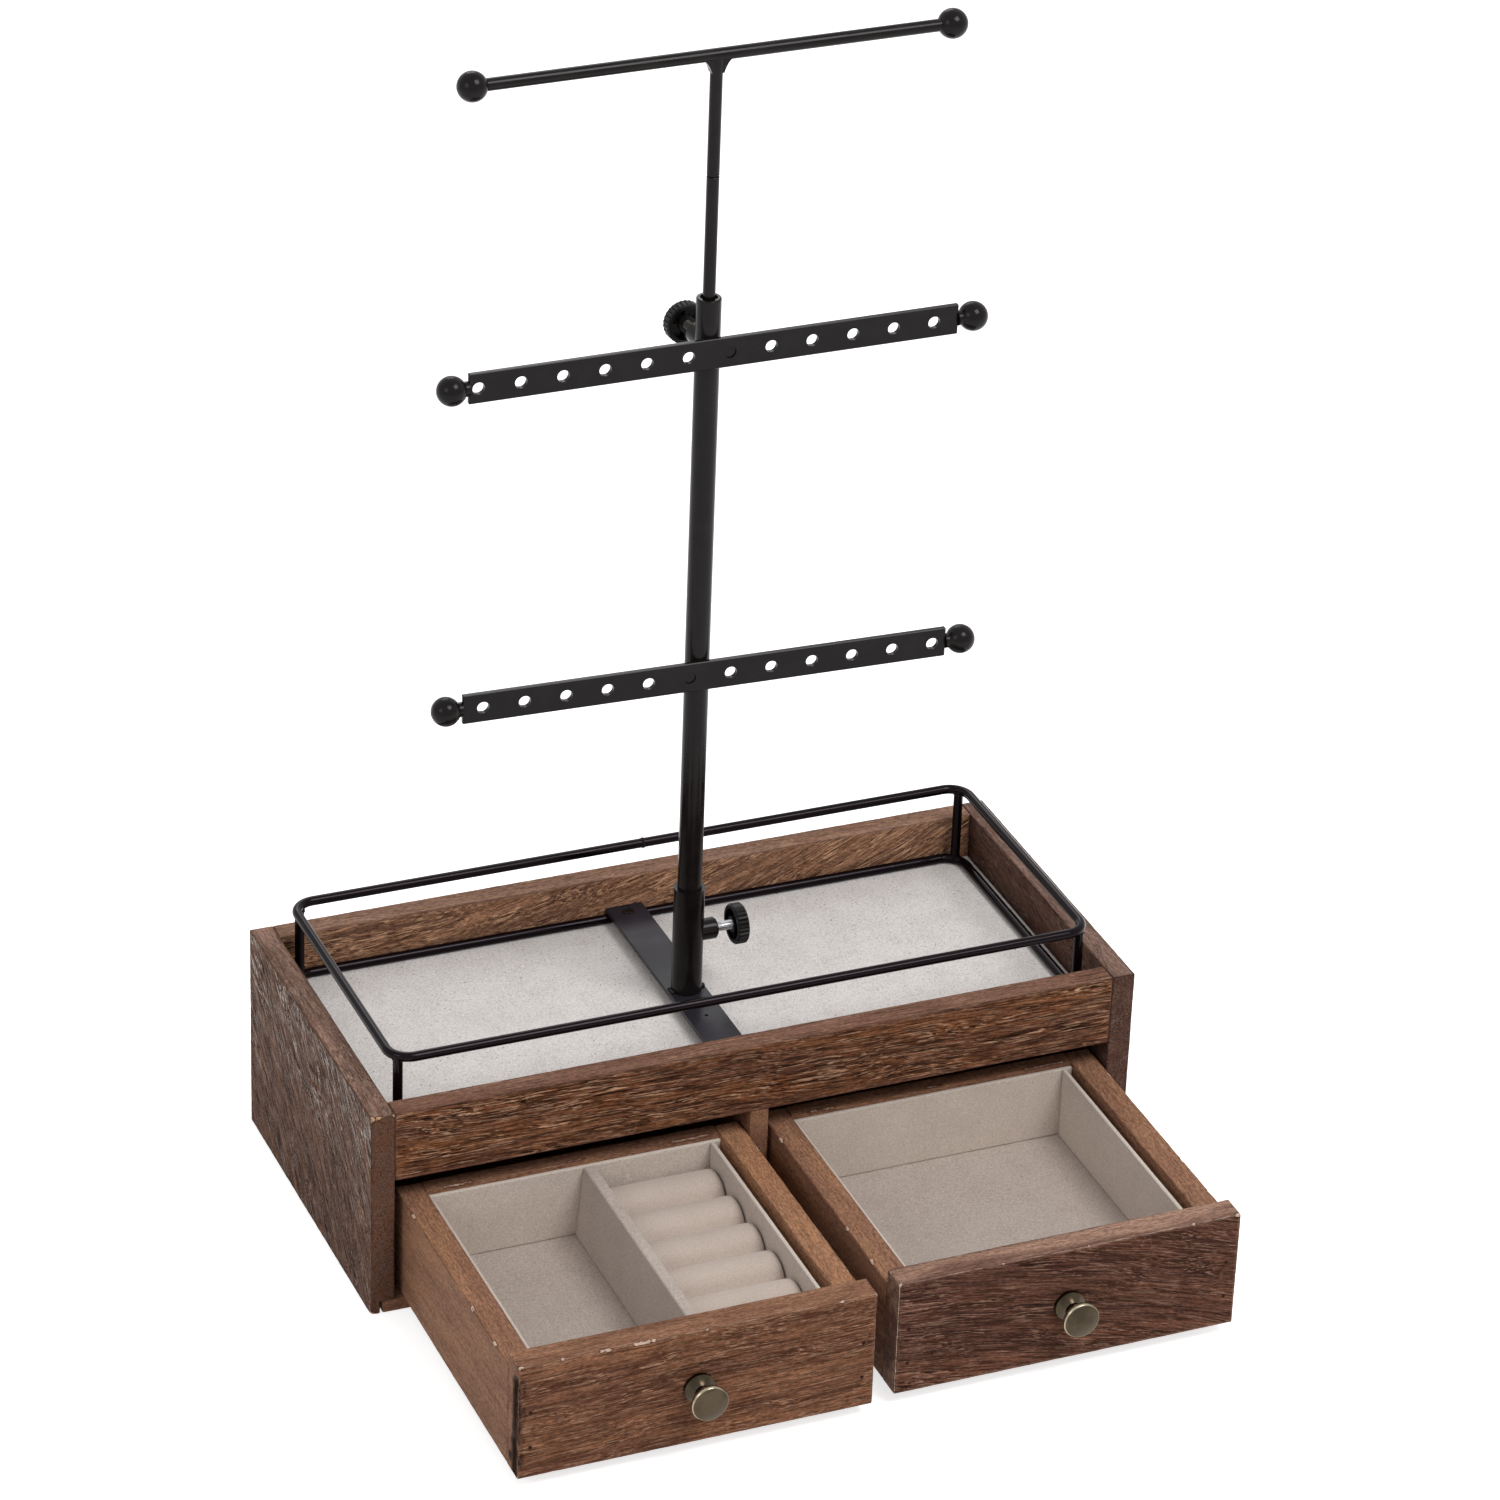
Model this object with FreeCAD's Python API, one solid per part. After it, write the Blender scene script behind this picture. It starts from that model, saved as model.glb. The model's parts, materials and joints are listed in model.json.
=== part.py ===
import FreeCAD, Part
import math
import os

# Jewellery stand: a shallow wooden case with a lined tray on top and two pull-out drawers below,
# a wire gallery lying in the tray, and a height-adjustable steel tree of three cross bars.
# Millimetres. The origin is the middle of the case's footprint on the table: +X to the right,
# +Y to the back, +Z up. The two drawers are drawn part open, as the stand is shown.

Vector = FreeCAD.Vector

# ---------------------------------------------------------------- clearances
slide_gap = 0.3           # between pieces that slide or lie loose on each other
running_fit = 0.06        # radial, shaft in a bore that turns or slides
press_fit = 0.02          # radial, pin or plug that stays put in its hole
groove_play = 0.1         # over a panel's edge in its groove
groove_end = 0.5          # beyond a panel's edge in its groove
trim_gap = 0.5            # round a lining sheet

# ---------------------------------------------------------------- case
case_length = 330.0
case_depth = 152.0
case_height = 92.5
end_thk = 10.0
rail_thk = 10.0
rail_height = 31.0
back_thk = 10.0
bottom_thk = 5.5
bottom_rabbet = 5.0       # how far the bottom board reaches under each end panel
bottom_end_gap = 1.0      # beyond its ends in the panels' rabbets
partition_thk = 8.0
deck_thk = 5.0
deck_tongue = 4.0         # edge of the deck housed in its grooves
tray_depth = 19.9         # from the rim down to the tray's lining
lining_thk = 1.0
board_ease = 0.5          # eased edge of every sawn board

# ---------------------------------------------------------------- gallery
wire_dia = 4.0
gallery_left_gap = 2.0    # loose gallery to the left end panel
gallery_right_gap = 4.0
gallery_front_gap = 1.7   # to the front rail; it lies against the back panel
gallery_rise = 34.0       # lower loop to upper loop, between centrelines
gallery_corner = 9.0      # bend radius at the centreline
strap_width = 16.0
strap_thk = 2.0
spot_weld_dia = 4.0
spot_weld_depth = 0.3
strap_screw_dia = 3.0
strap_screw_head = 5.6
strap_screw_head_height = 1.6
strap_screw_offset = 22.0 # in front of the socket
strap_screw_bite = 4.0    # depth in the deck

# ---------------------------------------------------------------- mast and socket
mast_x = -4.0
mast_y = -5.0
mast_dia = 10.0
mast_wall = 1.0
mast_length = 311.0
mast_lip = 1.0            # height of the turned-in rim
mast_crown = 0.6          # rounding of its outer edge
mast_lip_reach = 0.5
socket_dia = 12.7
socket_length = 48.4
bush_length = 12.0

# ---------------------------------------------------------------- thumb screws
shank_dia = 4.0
boss_dia = 9.0
boss_length = 5.7
boss_chamfer = 0.8
screw_reach = 9.5         # bare shank and knob from the boss to the knob's middle
thumb_dia = 17.0
thumb_thk = 5.0
thumb_rim = 1.9
thumb_web = 1.8
thumb_hub_dia = 7.0
thumb_spoke = 1.2
thumb_spoke_drop = 1.2    # spokes' edges below the knob's rim
thumb_spokes = 4
thumb_flutes = 28
thumb_flute_width = 1.1   # across its mouth
thumb_flute_depth = 0.5
thumb_chamfer = 0.6
shank_grip = 3.2          # length of shank held in the knob
base_screw_rise = 26.9    # above the socket's foot
base_screw_turn = 0.0     # direction from the mast, degrees from +X
mast_screw_drop = 19.4    # below the mast's top
mast_screw_turn = 94.0

# ---------------------------------------------------------------- earring bars
bar_length = 203.0
bar_height = 12.7
bar_thk = 2.0
bar_ease = 0.3
hole_count = 12
hole_end = 7.07           # bar's end to the middle of the first hole, in a centred row
hole_dia = 5.0
dimple_depth = 0.6
ball_dia = 12.0
ball_offset = 6.7         # ball centre beyond the bar's end
ball_neck_dia = 6.0

lower_bar_rise = 148.8    # above the mast's foot
lower_bar_swing = -2.5    # degrees about the mast
lower_bar_shift = 2.0
lower_hole_shift = 1.3    # hole row against the bar's middle
lower_dimple = 5          # place in the row that is only dimpled

upper_bar_drop = 21.3     # below the mast's top
upper_bar_swing = -0.15
upper_bar_shift = 1.4
upper_hole_shift = -3.2
upper_dimple = 6

# ---------------------------------------------------------------- T piece
rod_dia = 5.0
rod_held = 49.9           # lower rod inside the mast
rod_show = 50.6           # lower rod above the mast
rod_joint_gap = 0.15
rod_ease = 0.3
stud_dia = 3.0
stud_length = 8.0
t_bar_rise = 49.5         # above the joint of the two rods
t_bar_dia = 5.0
t_bar_length = 184.8      # rod showing between the balls
t_bar_swing = 0.6
t_bar_shift = -0.3
t_ball_socket = 3.0       # rod end held in each ball
saddle_drop = 7.0         # flare's start below the T bar's axis
saddle_half = 7.4
saddle_sweep = 0.3        # share of the flare reached at half its height
saddle_thk = 4.0

# ---------------------------------------------------------------- drawers
drawer_room = 4.0         # beside a drawer in its bay, both sides together
drawer_top_gap = 4.2      # under the front rail
drawer_end_gap = 1.0      # behind a closed drawer
drawer_front_thk = 11.5
drawer_side_thk = 11.0
drawer_side_drop = 6.3    # side boards' tops below the front board's
drawer_back_thk = 7.2
drawer_floor_thk = 3.0
drawer_floor_raise = 7.5  # clear height under the drawer's floor
drawer_groove = 4.0
drawer_lining_thk = 1.9
drawer_lining_drop = 1.6  # lining's rim below the side boards' tops
lining_side_gap = 3.0     # slack between the right lining wall and its board
left_drawer_held = 11.5   # length still in the case when pulled out
right_drawer_held = 14.1
left_drawer_shift = 1.7
brad_dia = 1.2
brad_length = 22.0
brad_low = 13.8           # above the drawer's underside
brad_high = 29.8
brad_inset = 5.0          # from the front board's end

divider_thk = 5.0
divider_place = 65.5      # from the left lining wall's board to the divider's top
divider_lean = 3.0
roll_pitch = 20.6
roll_crest = 25.0         # above the lining floor
roll_crease = 19.0

# ---------------------------------------------------------------- drawer knob
knob_base_dia = 12.5
knob_base_thk = 1.6
knob_neck_dia = 6.4
knob_waist = 4.2          # where the collar's sweep meets the neck
knob_sweep_dia = 8.2      # on the way from the collar to the neck
knob_sweep_place = 3.15
knob_neck_end = 7.0
knob_disc_dia = 15.4
knob_bell_dia = 11.7      # half way from the neck to the disc's rim
knob_length = 14.0
knob_rim_thk = 2.2
knob_rim_bulge = 0.4
knob_crown = 1.4
knob_screw_dia = 4.0
knob_screw_head = 7.6
knob_screw_head_height = 2.4
knob_screw_bite = 6.0

# ---------------------------------------------------------------- places worked out from the sizes
case_left = -case_length / 2
case_right = case_length / 2
case_front = -case_depth / 2
case_back = case_depth / 2
inner_left = case_left + end_thk
inner_right = case_right - end_thk
rail_back = case_front + rail_thk
back_face = case_back - back_thk
rail_foot = case_height - rail_height
lining_top = case_height - tray_depth
deck_top = lining_top - lining_thk
deck_foot = deck_top - deck_thk

gallery_left = inner_left + gallery_left_gap + wire_dia / 2
gallery_right = inner_right - gallery_right_gap - wire_dia / 2
gallery_front = rail_back + gallery_front_gap + wire_dia / 2
gallery_back = back_face - slide_gap - wire_dia / 2
gallery_length = gallery_right - gallery_left
gallery_depth = gallery_back - gallery_front
gallery_centre = Vector((gallery_left + gallery_right) / 2, (gallery_front + gallery_back) / 2, 0)
lower_wire = lining_top + wire_dia / 2
upper_wire = lower_wire + gallery_rise
strap_foot = lower_wire + wire_dia / 2
strap_top = strap_foot + strap_thk
strap_screw_y = mast_y - strap_screw_offset

mast_foot = strap_top + slide_gap
mast_top = mast_foot + mast_length
mast_bore = mast_dia - 2 * mast_wall
base_screw_height = strap_top + base_screw_rise
mast_screw_height = mast_top - mast_screw_drop
lower_bar_height = mast_foot + lower_bar_rise
upper_bar_height = mast_top - upper_bar_drop
hole_pitch = (bar_length - 2 * hole_end) / (hole_count - 1)
rod_low_end = mast_top - rod_held
rod_joint_height = mast_top + rod_show
t_bar_height = rod_joint_height + t_bar_rise

bay_width = (case_length - 2 * end_thk - partition_thk) / 2
bay_offset = (partition_thk + bay_width) / 2
drawer_foot = bottom_thk + slide_gap
drawer_front_width = bay_width - drawer_room
drawer_front_height = rail_foot - drawer_top_gap - drawer_foot
drawer_side_height = drawer_front_height - drawer_side_drop
drawer_depth = case_depth - back_thk - drawer_end_gap
left_drawer_open = drawer_depth - left_drawer_held
right_drawer_open = drawer_depth - right_drawer_held


# ---------------------------------------------------------------- shape helpers
def block(x, y, z):
    """Box from three (low, high) pairs."""
    return Part.makeBox(x[1] - x[0], y[1] - y[0], z[1] - z[0], Vector(x[0], y[0], z[0]))


def board(x, y, z, ease=board_ease):
    """Sawn board with every edge eased."""
    plain = block(x, y, z)
    return plain.makeChamfer(ease, plain.Edges)


def rod(radius, start, end):
    """Round bar between two points."""
    line = end - start
    return Part.makeCylinder(radius, line.Length, start, line)


def eased_rod(radius, start, end, ease):
    """Round bar with both ends chamfered."""
    plain = rod(radius, start, end)
    return plain.makeChamfer(ease, [edge for edge in plain.Edges if edge.Closed])


def tube(outer, bore, low, high):
    """Upright tube round the mast's axis."""
    foot = Vector(mast_x, mast_y, low)
    top = Vector(mast_x, mast_y, high)
    return rod(outer / 2, foot, top).cut(rod(bore / 2, foot, top))


def on_mast(shape, turn, height):
    """Turn a shape drawn at the origin about the vertical and set it on the mast's axis."""
    placed = shape.copy()
    placed.rotate(Vector(0, 0, 0), Vector(0, 0, 1), turn)
    placed.translate(Vector(mast_x, mast_y, height))
    return placed


def outline(points):
    """Flat face inside a closed polygon."""
    return Part.Face(Part.makePolygon(points + points[:1]))


# ---------------------------------------------------------------- case boards
def deck_slot():
    """Room that the tray deck's edge takes in the boards round it."""
    reach = deck_tongue + groove_end
    return block((inner_left - reach, inner_right + reach),
                 (rail_back - reach, back_face + reach),
                 (deck_foot, deck_top + groove_play))


def bottom_slot():
    """Room that the bottom board takes under the end panels."""
    reach = bottom_rabbet + bottom_end_gap
    return block((inner_left - reach, inner_right + reach), (case_front, case_back),
                 (0, bottom_thk))


def end_panel(x_low, x_high):
    panel = board((x_low, x_high), (case_front, case_back), (0, case_height))
    return panel.cut(deck_slot()).cut(bottom_slot())


def front_rail():
    rail = board((inner_left, inner_right), (case_front, rail_back), (rail_foot, case_height))
    return rail.cut(deck_slot())


def back_panel():
    panel = board((inner_left, inner_right), (back_face, case_back), (bottom_thk, case_height))
    return panel.cut(deck_slot())


def bottom_board():
    return block((inner_left - bottom_rabbet, inner_right + bottom_rabbet),
                 (case_front, case_back),
                 (0, bottom_thk))


def tray_deck():
    deck = block((inner_left - deck_tongue, inner_right + deck_tongue),
                 (rail_back - deck_tongue, back_face + deck_tongue),
                 (deck_foot, deck_top))
    return deck.cut(strap_screw_bore(press_fit))


def centre_partition():
    """Upright board between the drawers, notched at the top for the front rail."""
    side = -partition_thk / 2
    profile = outline([Vector(side, case_front, bottom_thk),
                       Vector(side, back_face, bottom_thk),
                       Vector(side, back_face, deck_foot),
                       Vector(side, rail_back, deck_foot),
                       Vector(side, rail_back, rail_foot),
                       Vector(side, case_front, rail_foot)])
    return profile.extrude(Vector(partition_thk, 0, 0))


def tray_lining():
    """Linen-covered sheet on the tray's deck."""
    sheet = block((inner_left + trim_gap, inner_right - trim_gap),
                  (rail_back + trim_gap, back_face - trim_gap),
                  (deck_top, lining_top))
    return sheet.cut(strap_screw_bore(slide_gap))


# ---------------------------------------------------------------- gallery
def wire_loop(height):
    """Closed wire rectangle with bent corners."""
    wire = wire_dia / 2
    half_x = gallery_length / 2
    half_y = gallery_depth / 2
    turn_x = half_x - gallery_corner
    turn_y = half_y - gallery_corner
    loop = rod(wire, Vector(-turn_x, -half_y, 0), Vector(turn_x, -half_y, 0))
    pieces = [rod(wire, Vector(-turn_x, half_y, 0), Vector(turn_x, half_y, 0)),
              rod(wire, Vector(-half_x, -turn_y, 0), Vector(-half_x, turn_y, 0)),
              rod(wire, Vector(half_x, -turn_y, 0), Vector(half_x, turn_y, 0))]
    for sign_x in (-1, 1):
        for sign_y in (-1, 1):
            middle = Vector(sign_x * turn_x, sign_y * turn_y, 0)
            start = middle + Vector(sign_x * gallery_corner, 0, 0)
            section = Part.Face(Part.Wire(Part.makeCircle(wire, start, Vector(0, 1, 0))))
            pieces.append(section.revolve(middle, Vector(0, 0, 1), 90 * sign_x * sign_y))
    loop = loop.fuse(pieces)
    loop.translate(gallery_centre + Vector(0, 0, height))
    return loop.removeSplitter()


def gallery_posts():
    """Upright wires welded between the loops, one at the middle of each corner bend."""
    inset = gallery_corner * (1 - math.sqrt(0.5))
    reach_x = gallery_length / 2 - inset
    reach_y = gallery_depth / 2 - inset
    loops = wire_loop(lower_wire).fuse(wire_loop(upper_wire))
    posts = []
    for sign_x in (-1, 1):
        for sign_y in (-1, 1):
            foot = gallery_centre + Vector(sign_x * reach_x, sign_y * reach_y, lower_wire)
            post = rod(wire_dia / 2, foot, foot + Vector(0, 0, gallery_rise))
            posts.append(post.cut(loops).Solids[0])
    return Part.makeCompound(posts)


def strap_screw_bore(clearance):
    """Round the strap screw's thread."""
    point = strap_screw_point()
    return rod(strap_screw_dia / 2 + clearance, Vector(mast_x, strap_screw_y, point),
               Vector(mast_x, strap_screw_y, strap_top))


def strap_screw_point():
    return deck_top - strap_screw_bite


def strap_screw_cone(clearance):
    """Countersunk head, flush with the strap."""
    foot = Vector(mast_x, strap_screw_y, strap_top - strap_screw_head_height)
    return Part.makeCone(strap_screw_dia / 2 + clearance, strap_screw_head / 2 + clearance,
                         strap_screw_head_height, foot, Vector(0, 0, 1))


def cross_strap():
    """Flat strap laid over both long wires of the lower loop; it carries the socket."""
    strap = block((mast_x - strap_width / 2, mast_x + strap_width / 2),
                  (gallery_front - wire_dia / 2, gallery_back + wire_dia / 2),
                  (strap_foot, strap_top))
    strap = strap.cut(strap_screw_bore(press_fit)).cut(strap_screw_cone(press_fit))
    for y in (gallery_front, gallery_back):
        top = Vector(mast_x, y, strap_top)
        strap = strap.cut(rod(spot_weld_dia / 2, top - Vector(0, 0, spot_weld_depth), top))
    return strap


def strap_screw():
    thread = rod(strap_screw_dia / 2, Vector(mast_x, strap_screw_y, strap_screw_point()),
                 Vector(mast_x, strap_screw_y, strap_top - strap_screw_head_height))
    return thread.fuse(strap_screw_cone(0)).removeSplitter()


# ---------------------------------------------------------------- thumb screws
def screw_boss(tube_radius):
    """Threaded boss coped onto the outside of a tube, along +X."""
    length = tube_radius + boss_length
    plain = rod(boss_dia / 2, Vector(0, 0, 0), Vector(length, 0, 0))
    rim = [edge for edge in plain.Edges if edge.Closed and edge.CenterOfMass.x > length / 2]
    boss = plain.makeChamfer(boss_chamfer, rim)
    core = rod(tube_radius, Vector(0, 0, -boss_dia), Vector(0, 0, boss_dia))
    return boss.cut(core).cut(screw_bore(length))


def screw_bore(length):
    """Clearance round the shank, from the tube's axis outwards along +X."""
    return rod(shank_dia / 2 + running_fit, Vector(0, 0, 0), Vector(length, 0, 0))


def thumb_middle(tube_radius):
    """Distance from the tube's axis to the knob's mid-plane."""
    return tube_radius + boss_length + screw_reach


def screw_shank(tube_radius, shaft_radius):
    """Plain stand-in for the threaded shank: it bears on the shaft and ends in the knob."""
    tip = shaft_radius + slide_gap
    end = thumb_middle(tube_radius) - thumb_thk / 2 + shank_grip
    return eased_rod(shank_dia / 2, Vector(tip, 0, 0), Vector(end, 0, 0), rod_ease)


def screw_knob(tube_radius):
    """Fluted thumb knob, hollow with spokes on the side that faces the mast."""
    near = thumb_middle(tube_radius) - thumb_thk / 2
    far = near + thumb_thk
    floor = far - thumb_web
    knob = eased_rod(thumb_dia / 2, Vector(near, 0, 0), Vector(far, 0, 0), thumb_chamfer)
    hollow = rod(thumb_dia / 2 - thumb_rim, Vector(near, 0, 0), Vector(floor, 0, 0))
    hollow = hollow.cut(rod(thumb_hub_dia / 2, Vector(near, 0, 0), Vector(floor, 0, 0)))
    spoke = block((near + thumb_spoke_drop, far), (-thumb_spoke / 2, thumb_spoke / 2),
                  (0, thumb_dia / 2))
    for index in range(thumb_spokes):
        arm = spoke.copy()
        arm.rotate(Vector(0, 0, 0), Vector(1, 0, 0), index * 360 / thumb_spokes)
        hollow = hollow.cut(arm)
    knob = knob.cut(hollow)
    notch = outline([Vector(near, 0, thumb_dia / 2 - thumb_flute_depth),
                     Vector(near, -thumb_flute_width, thumb_dia / 2 + thumb_flute_depth),
                     Vector(near, thumb_flute_width, thumb_dia / 2 + thumb_flute_depth)])
    notch = notch.extrude(Vector(thumb_thk, 0, 0))
    flutes = []
    for index in range(thumb_flutes):
        cutter = notch.copy()
        cutter.rotate(Vector(0, 0, 0), Vector(1, 0, 0), index * 360 / thumb_flutes)
        flutes.append(cutter)
    socket = rod(shank_dia / 2 + press_fit, Vector(near, 0, 0), Vector(near + shank_grip, 0, 0))
    return knob.cut(flutes).cut(socket)


# ---------------------------------------------------------------- mast
def socket_tube():
    bore = mast_dia + 2 * running_fit
    body = tube(socket_dia, bore, strap_top, strap_top + socket_length)
    return body.cut(on_mast(screw_bore(socket_dia), base_screw_turn, base_screw_height))


def mast_tube():
    """Main tube with a turned-in rim and a cross hole for the upper thumb screw."""
    body = tube(mast_dia, mast_bore, mast_foot, mast_top - mast_lip)
    rim_bore = mast_bore - 2 * mast_lip_reach
    rim = tube(mast_dia, rim_bore, mast_top - mast_lip, mast_top)
    crown = [edge for edge in rim.Edges
             if edge.Closed and edge.BoundBox.ZMin > mast_top - mast_lip / 2
             and edge.BoundBox.XLength > mast_bore]
    body = body.fuse(rim.makeFillet(mast_crown, crown))
    return body.cut(on_mast(screw_bore(mast_dia), mast_screw_turn, mast_screw_height))


def guide_bush():
    """Bush under the mast's rim that guides the sliding rod."""
    top = mast_top - mast_lip
    return tube(mast_bore - 2 * press_fit, rod_dia + 2 * running_fit, top - bush_length, top)


# ---------------------------------------------------------------- earring bars
def bar_face_y():
    """The bars lie against the front of the mast."""
    return -mast_dia / 2 - bar_thk


def earring_bar(height, swing, shift, hole_shift, dimple):
    """Flat bar with a row of holes; the place over the mast is only dimpled."""
    front = bar_face_y()
    bar = board((shift - bar_length / 2, shift + bar_length / 2),
                (front, front + bar_thk),
                (-bar_height / 2, bar_height / 2), bar_ease)
    for index in range(hole_count):
        x = shift + hole_shift + (index - (hole_count - 1) / 2) * hole_pitch
        depth = dimple_depth if index == dimple else bar_thk
        bar = bar.cut(rod(hole_dia / 2, Vector(x, front, 0), Vector(x, front + depth, 0)))
    return on_mast(bar, swing, height)


def turned_along_x(edges):
    """Solid of revolution about the X axis."""
    return Part.Face(Part.Wire(edges)).revolve(Vector(0, 0, 0), Vector(1, 0, 0), 360)


def pair_of_ends(piece, shift, reach, y):
    """One piece at the right end of a bar and its mirror image at the left end."""
    right = piece.copy()
    right.translate(Vector(shift + reach, y, 0))
    left = piece.mirror(Vector(0, 0, 0), Vector(1, 0, 0))
    left.translate(Vector(shift - reach, y, 0))
    return Part.makeCompound([left, right])


def necked_ball():
    """Ball on a short neck that starts at the origin."""
    ball = ball_dia / 2
    neck = ball_neck_dia / 2
    root = ball_offset - math.sqrt(ball * ball - neck * neck)
    return turned_along_x([
        Part.LineSegment(Vector(0, 0, 0), Vector(0, 0, neck)).toShape(),
        Part.LineSegment(Vector(0, 0, neck), Vector(root, 0, neck)).toShape(),
        Part.Arc(Vector(root, 0, neck), Vector(ball_offset, 0, ball),
                 Vector(ball_offset + ball, 0, 0)).toShape(),
        Part.LineSegment(Vector(ball_offset + ball, 0, 0), Vector(0, 0, 0)).toShape()])


def bar_balls(height, swing, shift):
    """Pair of balls on short necks welded to the bar's ends."""
    pair = pair_of_ends(necked_ball(), shift, bar_length / 2, bar_face_y() + bar_thk / 2)
    return on_mast(pair, swing, height)


# ---------------------------------------------------------------- T piece
def on_axis(height):
    return Vector(mast_x, mast_y, height)


def lower_rod():
    """Sliding rod that ends in a threaded stud."""
    shaft = eased_rod(rod_dia / 2, on_axis(rod_low_end), on_axis(rod_joint_height), rod_ease)
    stud = rod(stud_dia / 2, on_axis(rod_joint_height), on_axis(rod_joint_height + stud_length))
    return shaft.fuse(stud).removeSplitter()


def t_saddle():
    """Weld fillet that flares from the rod to the T bar, concave on both sides."""
    low = t_bar_height - saddle_drop
    high = t_bar_height
    half = rod_dia / 2
    back = mast_y - saddle_thk / 2
    middle = (low + high) / 2
    waist = half + (saddle_half - half) * saddle_sweep

    def at(x, z):
        return Vector(mast_x + x, back, z)

    edges = [Part.LineSegment(at(-half, low), at(half, low)).toShape(),
             Part.Arc(at(half, low), at(waist, middle), at(saddle_half, high)).toShape(),
             Part.LineSegment(at(saddle_half, high), at(-saddle_half, high)).toShape(),
             Part.Arc(at(-saddle_half, high), at(-waist, middle), at(-half, low)).toShape()]
    return Part.Face(Part.Wire(edges)).extrude(Vector(0, saddle_thk, 0))


def t_bar():
    """Round cross bar whose ends are held in the balls."""
    reach = t_bar_length / 2 + t_ball_socket
    bar = rod(t_bar_dia / 2, Vector(t_bar_shift - reach, 0, 0), Vector(t_bar_shift + reach, 0, 0))
    return on_mast(bar, t_bar_swing, t_bar_height)


def upper_rod():
    """Rod screwed onto the lower one, with the saddle that carries the T bar."""
    foot = rod_joint_height + rod_joint_gap
    shaft = rod(rod_dia / 2, on_axis(foot), on_axis(t_bar_height))
    rim = [edge for edge in shaft.Edges if edge.Closed and edge.BoundBox.ZMax < foot + rod_ease]
    shaft = shaft.makeChamfer(rod_ease, rim)
    socket = rod(stud_dia / 2 + running_fit, on_axis(foot),
                 on_axis(rod_joint_height + stud_length + slide_gap))
    saddle = t_saddle()
    saddle.rotate(on_axis(0), Vector(0, 0, 1), t_bar_swing)
    return shaft.fuse(saddle).cut(t_bar()).cut(socket)


def t_balls():
    """Balls bored to take the ends of the T bar."""
    ball = ball_dia / 2
    mouth = t_bar_dia / 2 + press_fit
    middle = math.sqrt(ball * ball - mouth * mouth)
    depth = t_ball_socket + press_fit
    bored_ball = turned_along_x([
        Part.Arc(Vector(0, 0, mouth), Vector(middle, 0, ball), Vector(middle + ball, 0, 0)).toShape(),
        Part.LineSegment(Vector(middle + ball, 0, 0), Vector(depth, 0, 0)).toShape(),
        Part.LineSegment(Vector(depth, 0, 0), Vector(depth, 0, mouth)).toShape(),
        Part.LineSegment(Vector(depth, 0, mouth), Vector(0, 0, mouth)).toShape()])
    return on_mast(pair_of_ends(bored_ball, t_bar_shift, t_bar_length / 2, 0),
                   t_bar_swing, t_bar_height)


# ---------------------------------------------------------------- drawers
def drawer_places(middle, front):
    """Faces of a drawer that its pieces share."""
    left = middle - drawer_front_width / 2
    right = middle + drawer_front_width / 2
    floor_foot = drawer_foot + drawer_floor_raise
    side_top = drawer_foot + drawer_side_height
    places = {"middle": middle, "left": left, "right": right, "front": front,
              "front_back": front + drawer_front_thk,
              "rear": front + drawer_depth,
              "inner_left": left + drawer_side_thk,
              "inner_right": right - drawer_side_thk,
              "floor_foot": floor_foot,
              "floor_top": floor_foot + drawer_floor_thk,
              "side_top": side_top,
              "lining_top": side_top - drawer_lining_drop}
    places["back_face"] = places["rear"] - drawer_back_thk
    places["lining_floor"] = places["floor_top"] + lining_thk
    places["lining_front"] = places["front_back"] + drawer_lining_thk
    places["lining_back"] = places["back_face"] - drawer_lining_thk
    places["lining_left"] = places["inner_left"] + drawer_lining_thk
    places["lining_right"] = places["inner_right"] - lining_side_gap - drawer_lining_thk
    places["knob_height"] = drawer_foot + drawer_front_height / 2
    return places


def floor_slot(p):
    """Room that the drawer's floor takes in the boards round it."""
    reach = drawer_groove + groove_end
    return block((p["inner_left"] - reach, p["inner_right"] + reach),
                 (p["front_back"] - reach, p["rear"]),
                 (p["floor_foot"], p["floor_top"] + groove_play))


def brads(p, clearance):
    """Four nails through the front board into the ends of the side boards."""
    pins = []
    for x in (p["left"] + brad_inset, p["right"] - brad_inset):
        for height in (brad_low, brad_high):
            start = Vector(x, p["front"], drawer_foot + height)
            pins.append(rod(brad_dia / 2 + clearance, start, start + Vector(0, brad_length, 0)))
    return pins


def drawer_front(p):
    front = board((p["left"], p["right"]), (p["front"], p["front_back"]),
                  (drawer_foot, drawer_foot + drawer_front_height))
    return front.cut(floor_slot(p)).cut(brads(p, press_fit)).cut(knob_screw(p, running_fit))


def drawer_side(p, x_low, x_high):
    side = board((x_low, x_high), (p["front_back"], p["rear"]), (drawer_foot, p["side_top"]))
    return side.cut(floor_slot(p)).cut(brads(p, press_fit))


def drawer_back(p):
    """Back that stands on the floor, so that the floor slides in under it."""
    return block((p["inner_left"], p["inner_right"]), (p["back_face"], p["rear"]),
                 (p["floor_top"], p["side_top"]))


def drawer_floor(p):
    return block((p["inner_left"] - drawer_groove, p["inner_right"] + drawer_groove),
                 (p["front_back"] - drawer_groove, p["rear"]),
                 (p["floor_foot"], p["floor_top"]))


def lining_floor(p):
    return block((p["inner_left"], p["inner_right"]), (p["front_back"], p["back_face"]),
                 (p["floor_top"], p["lining_floor"]))


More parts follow.
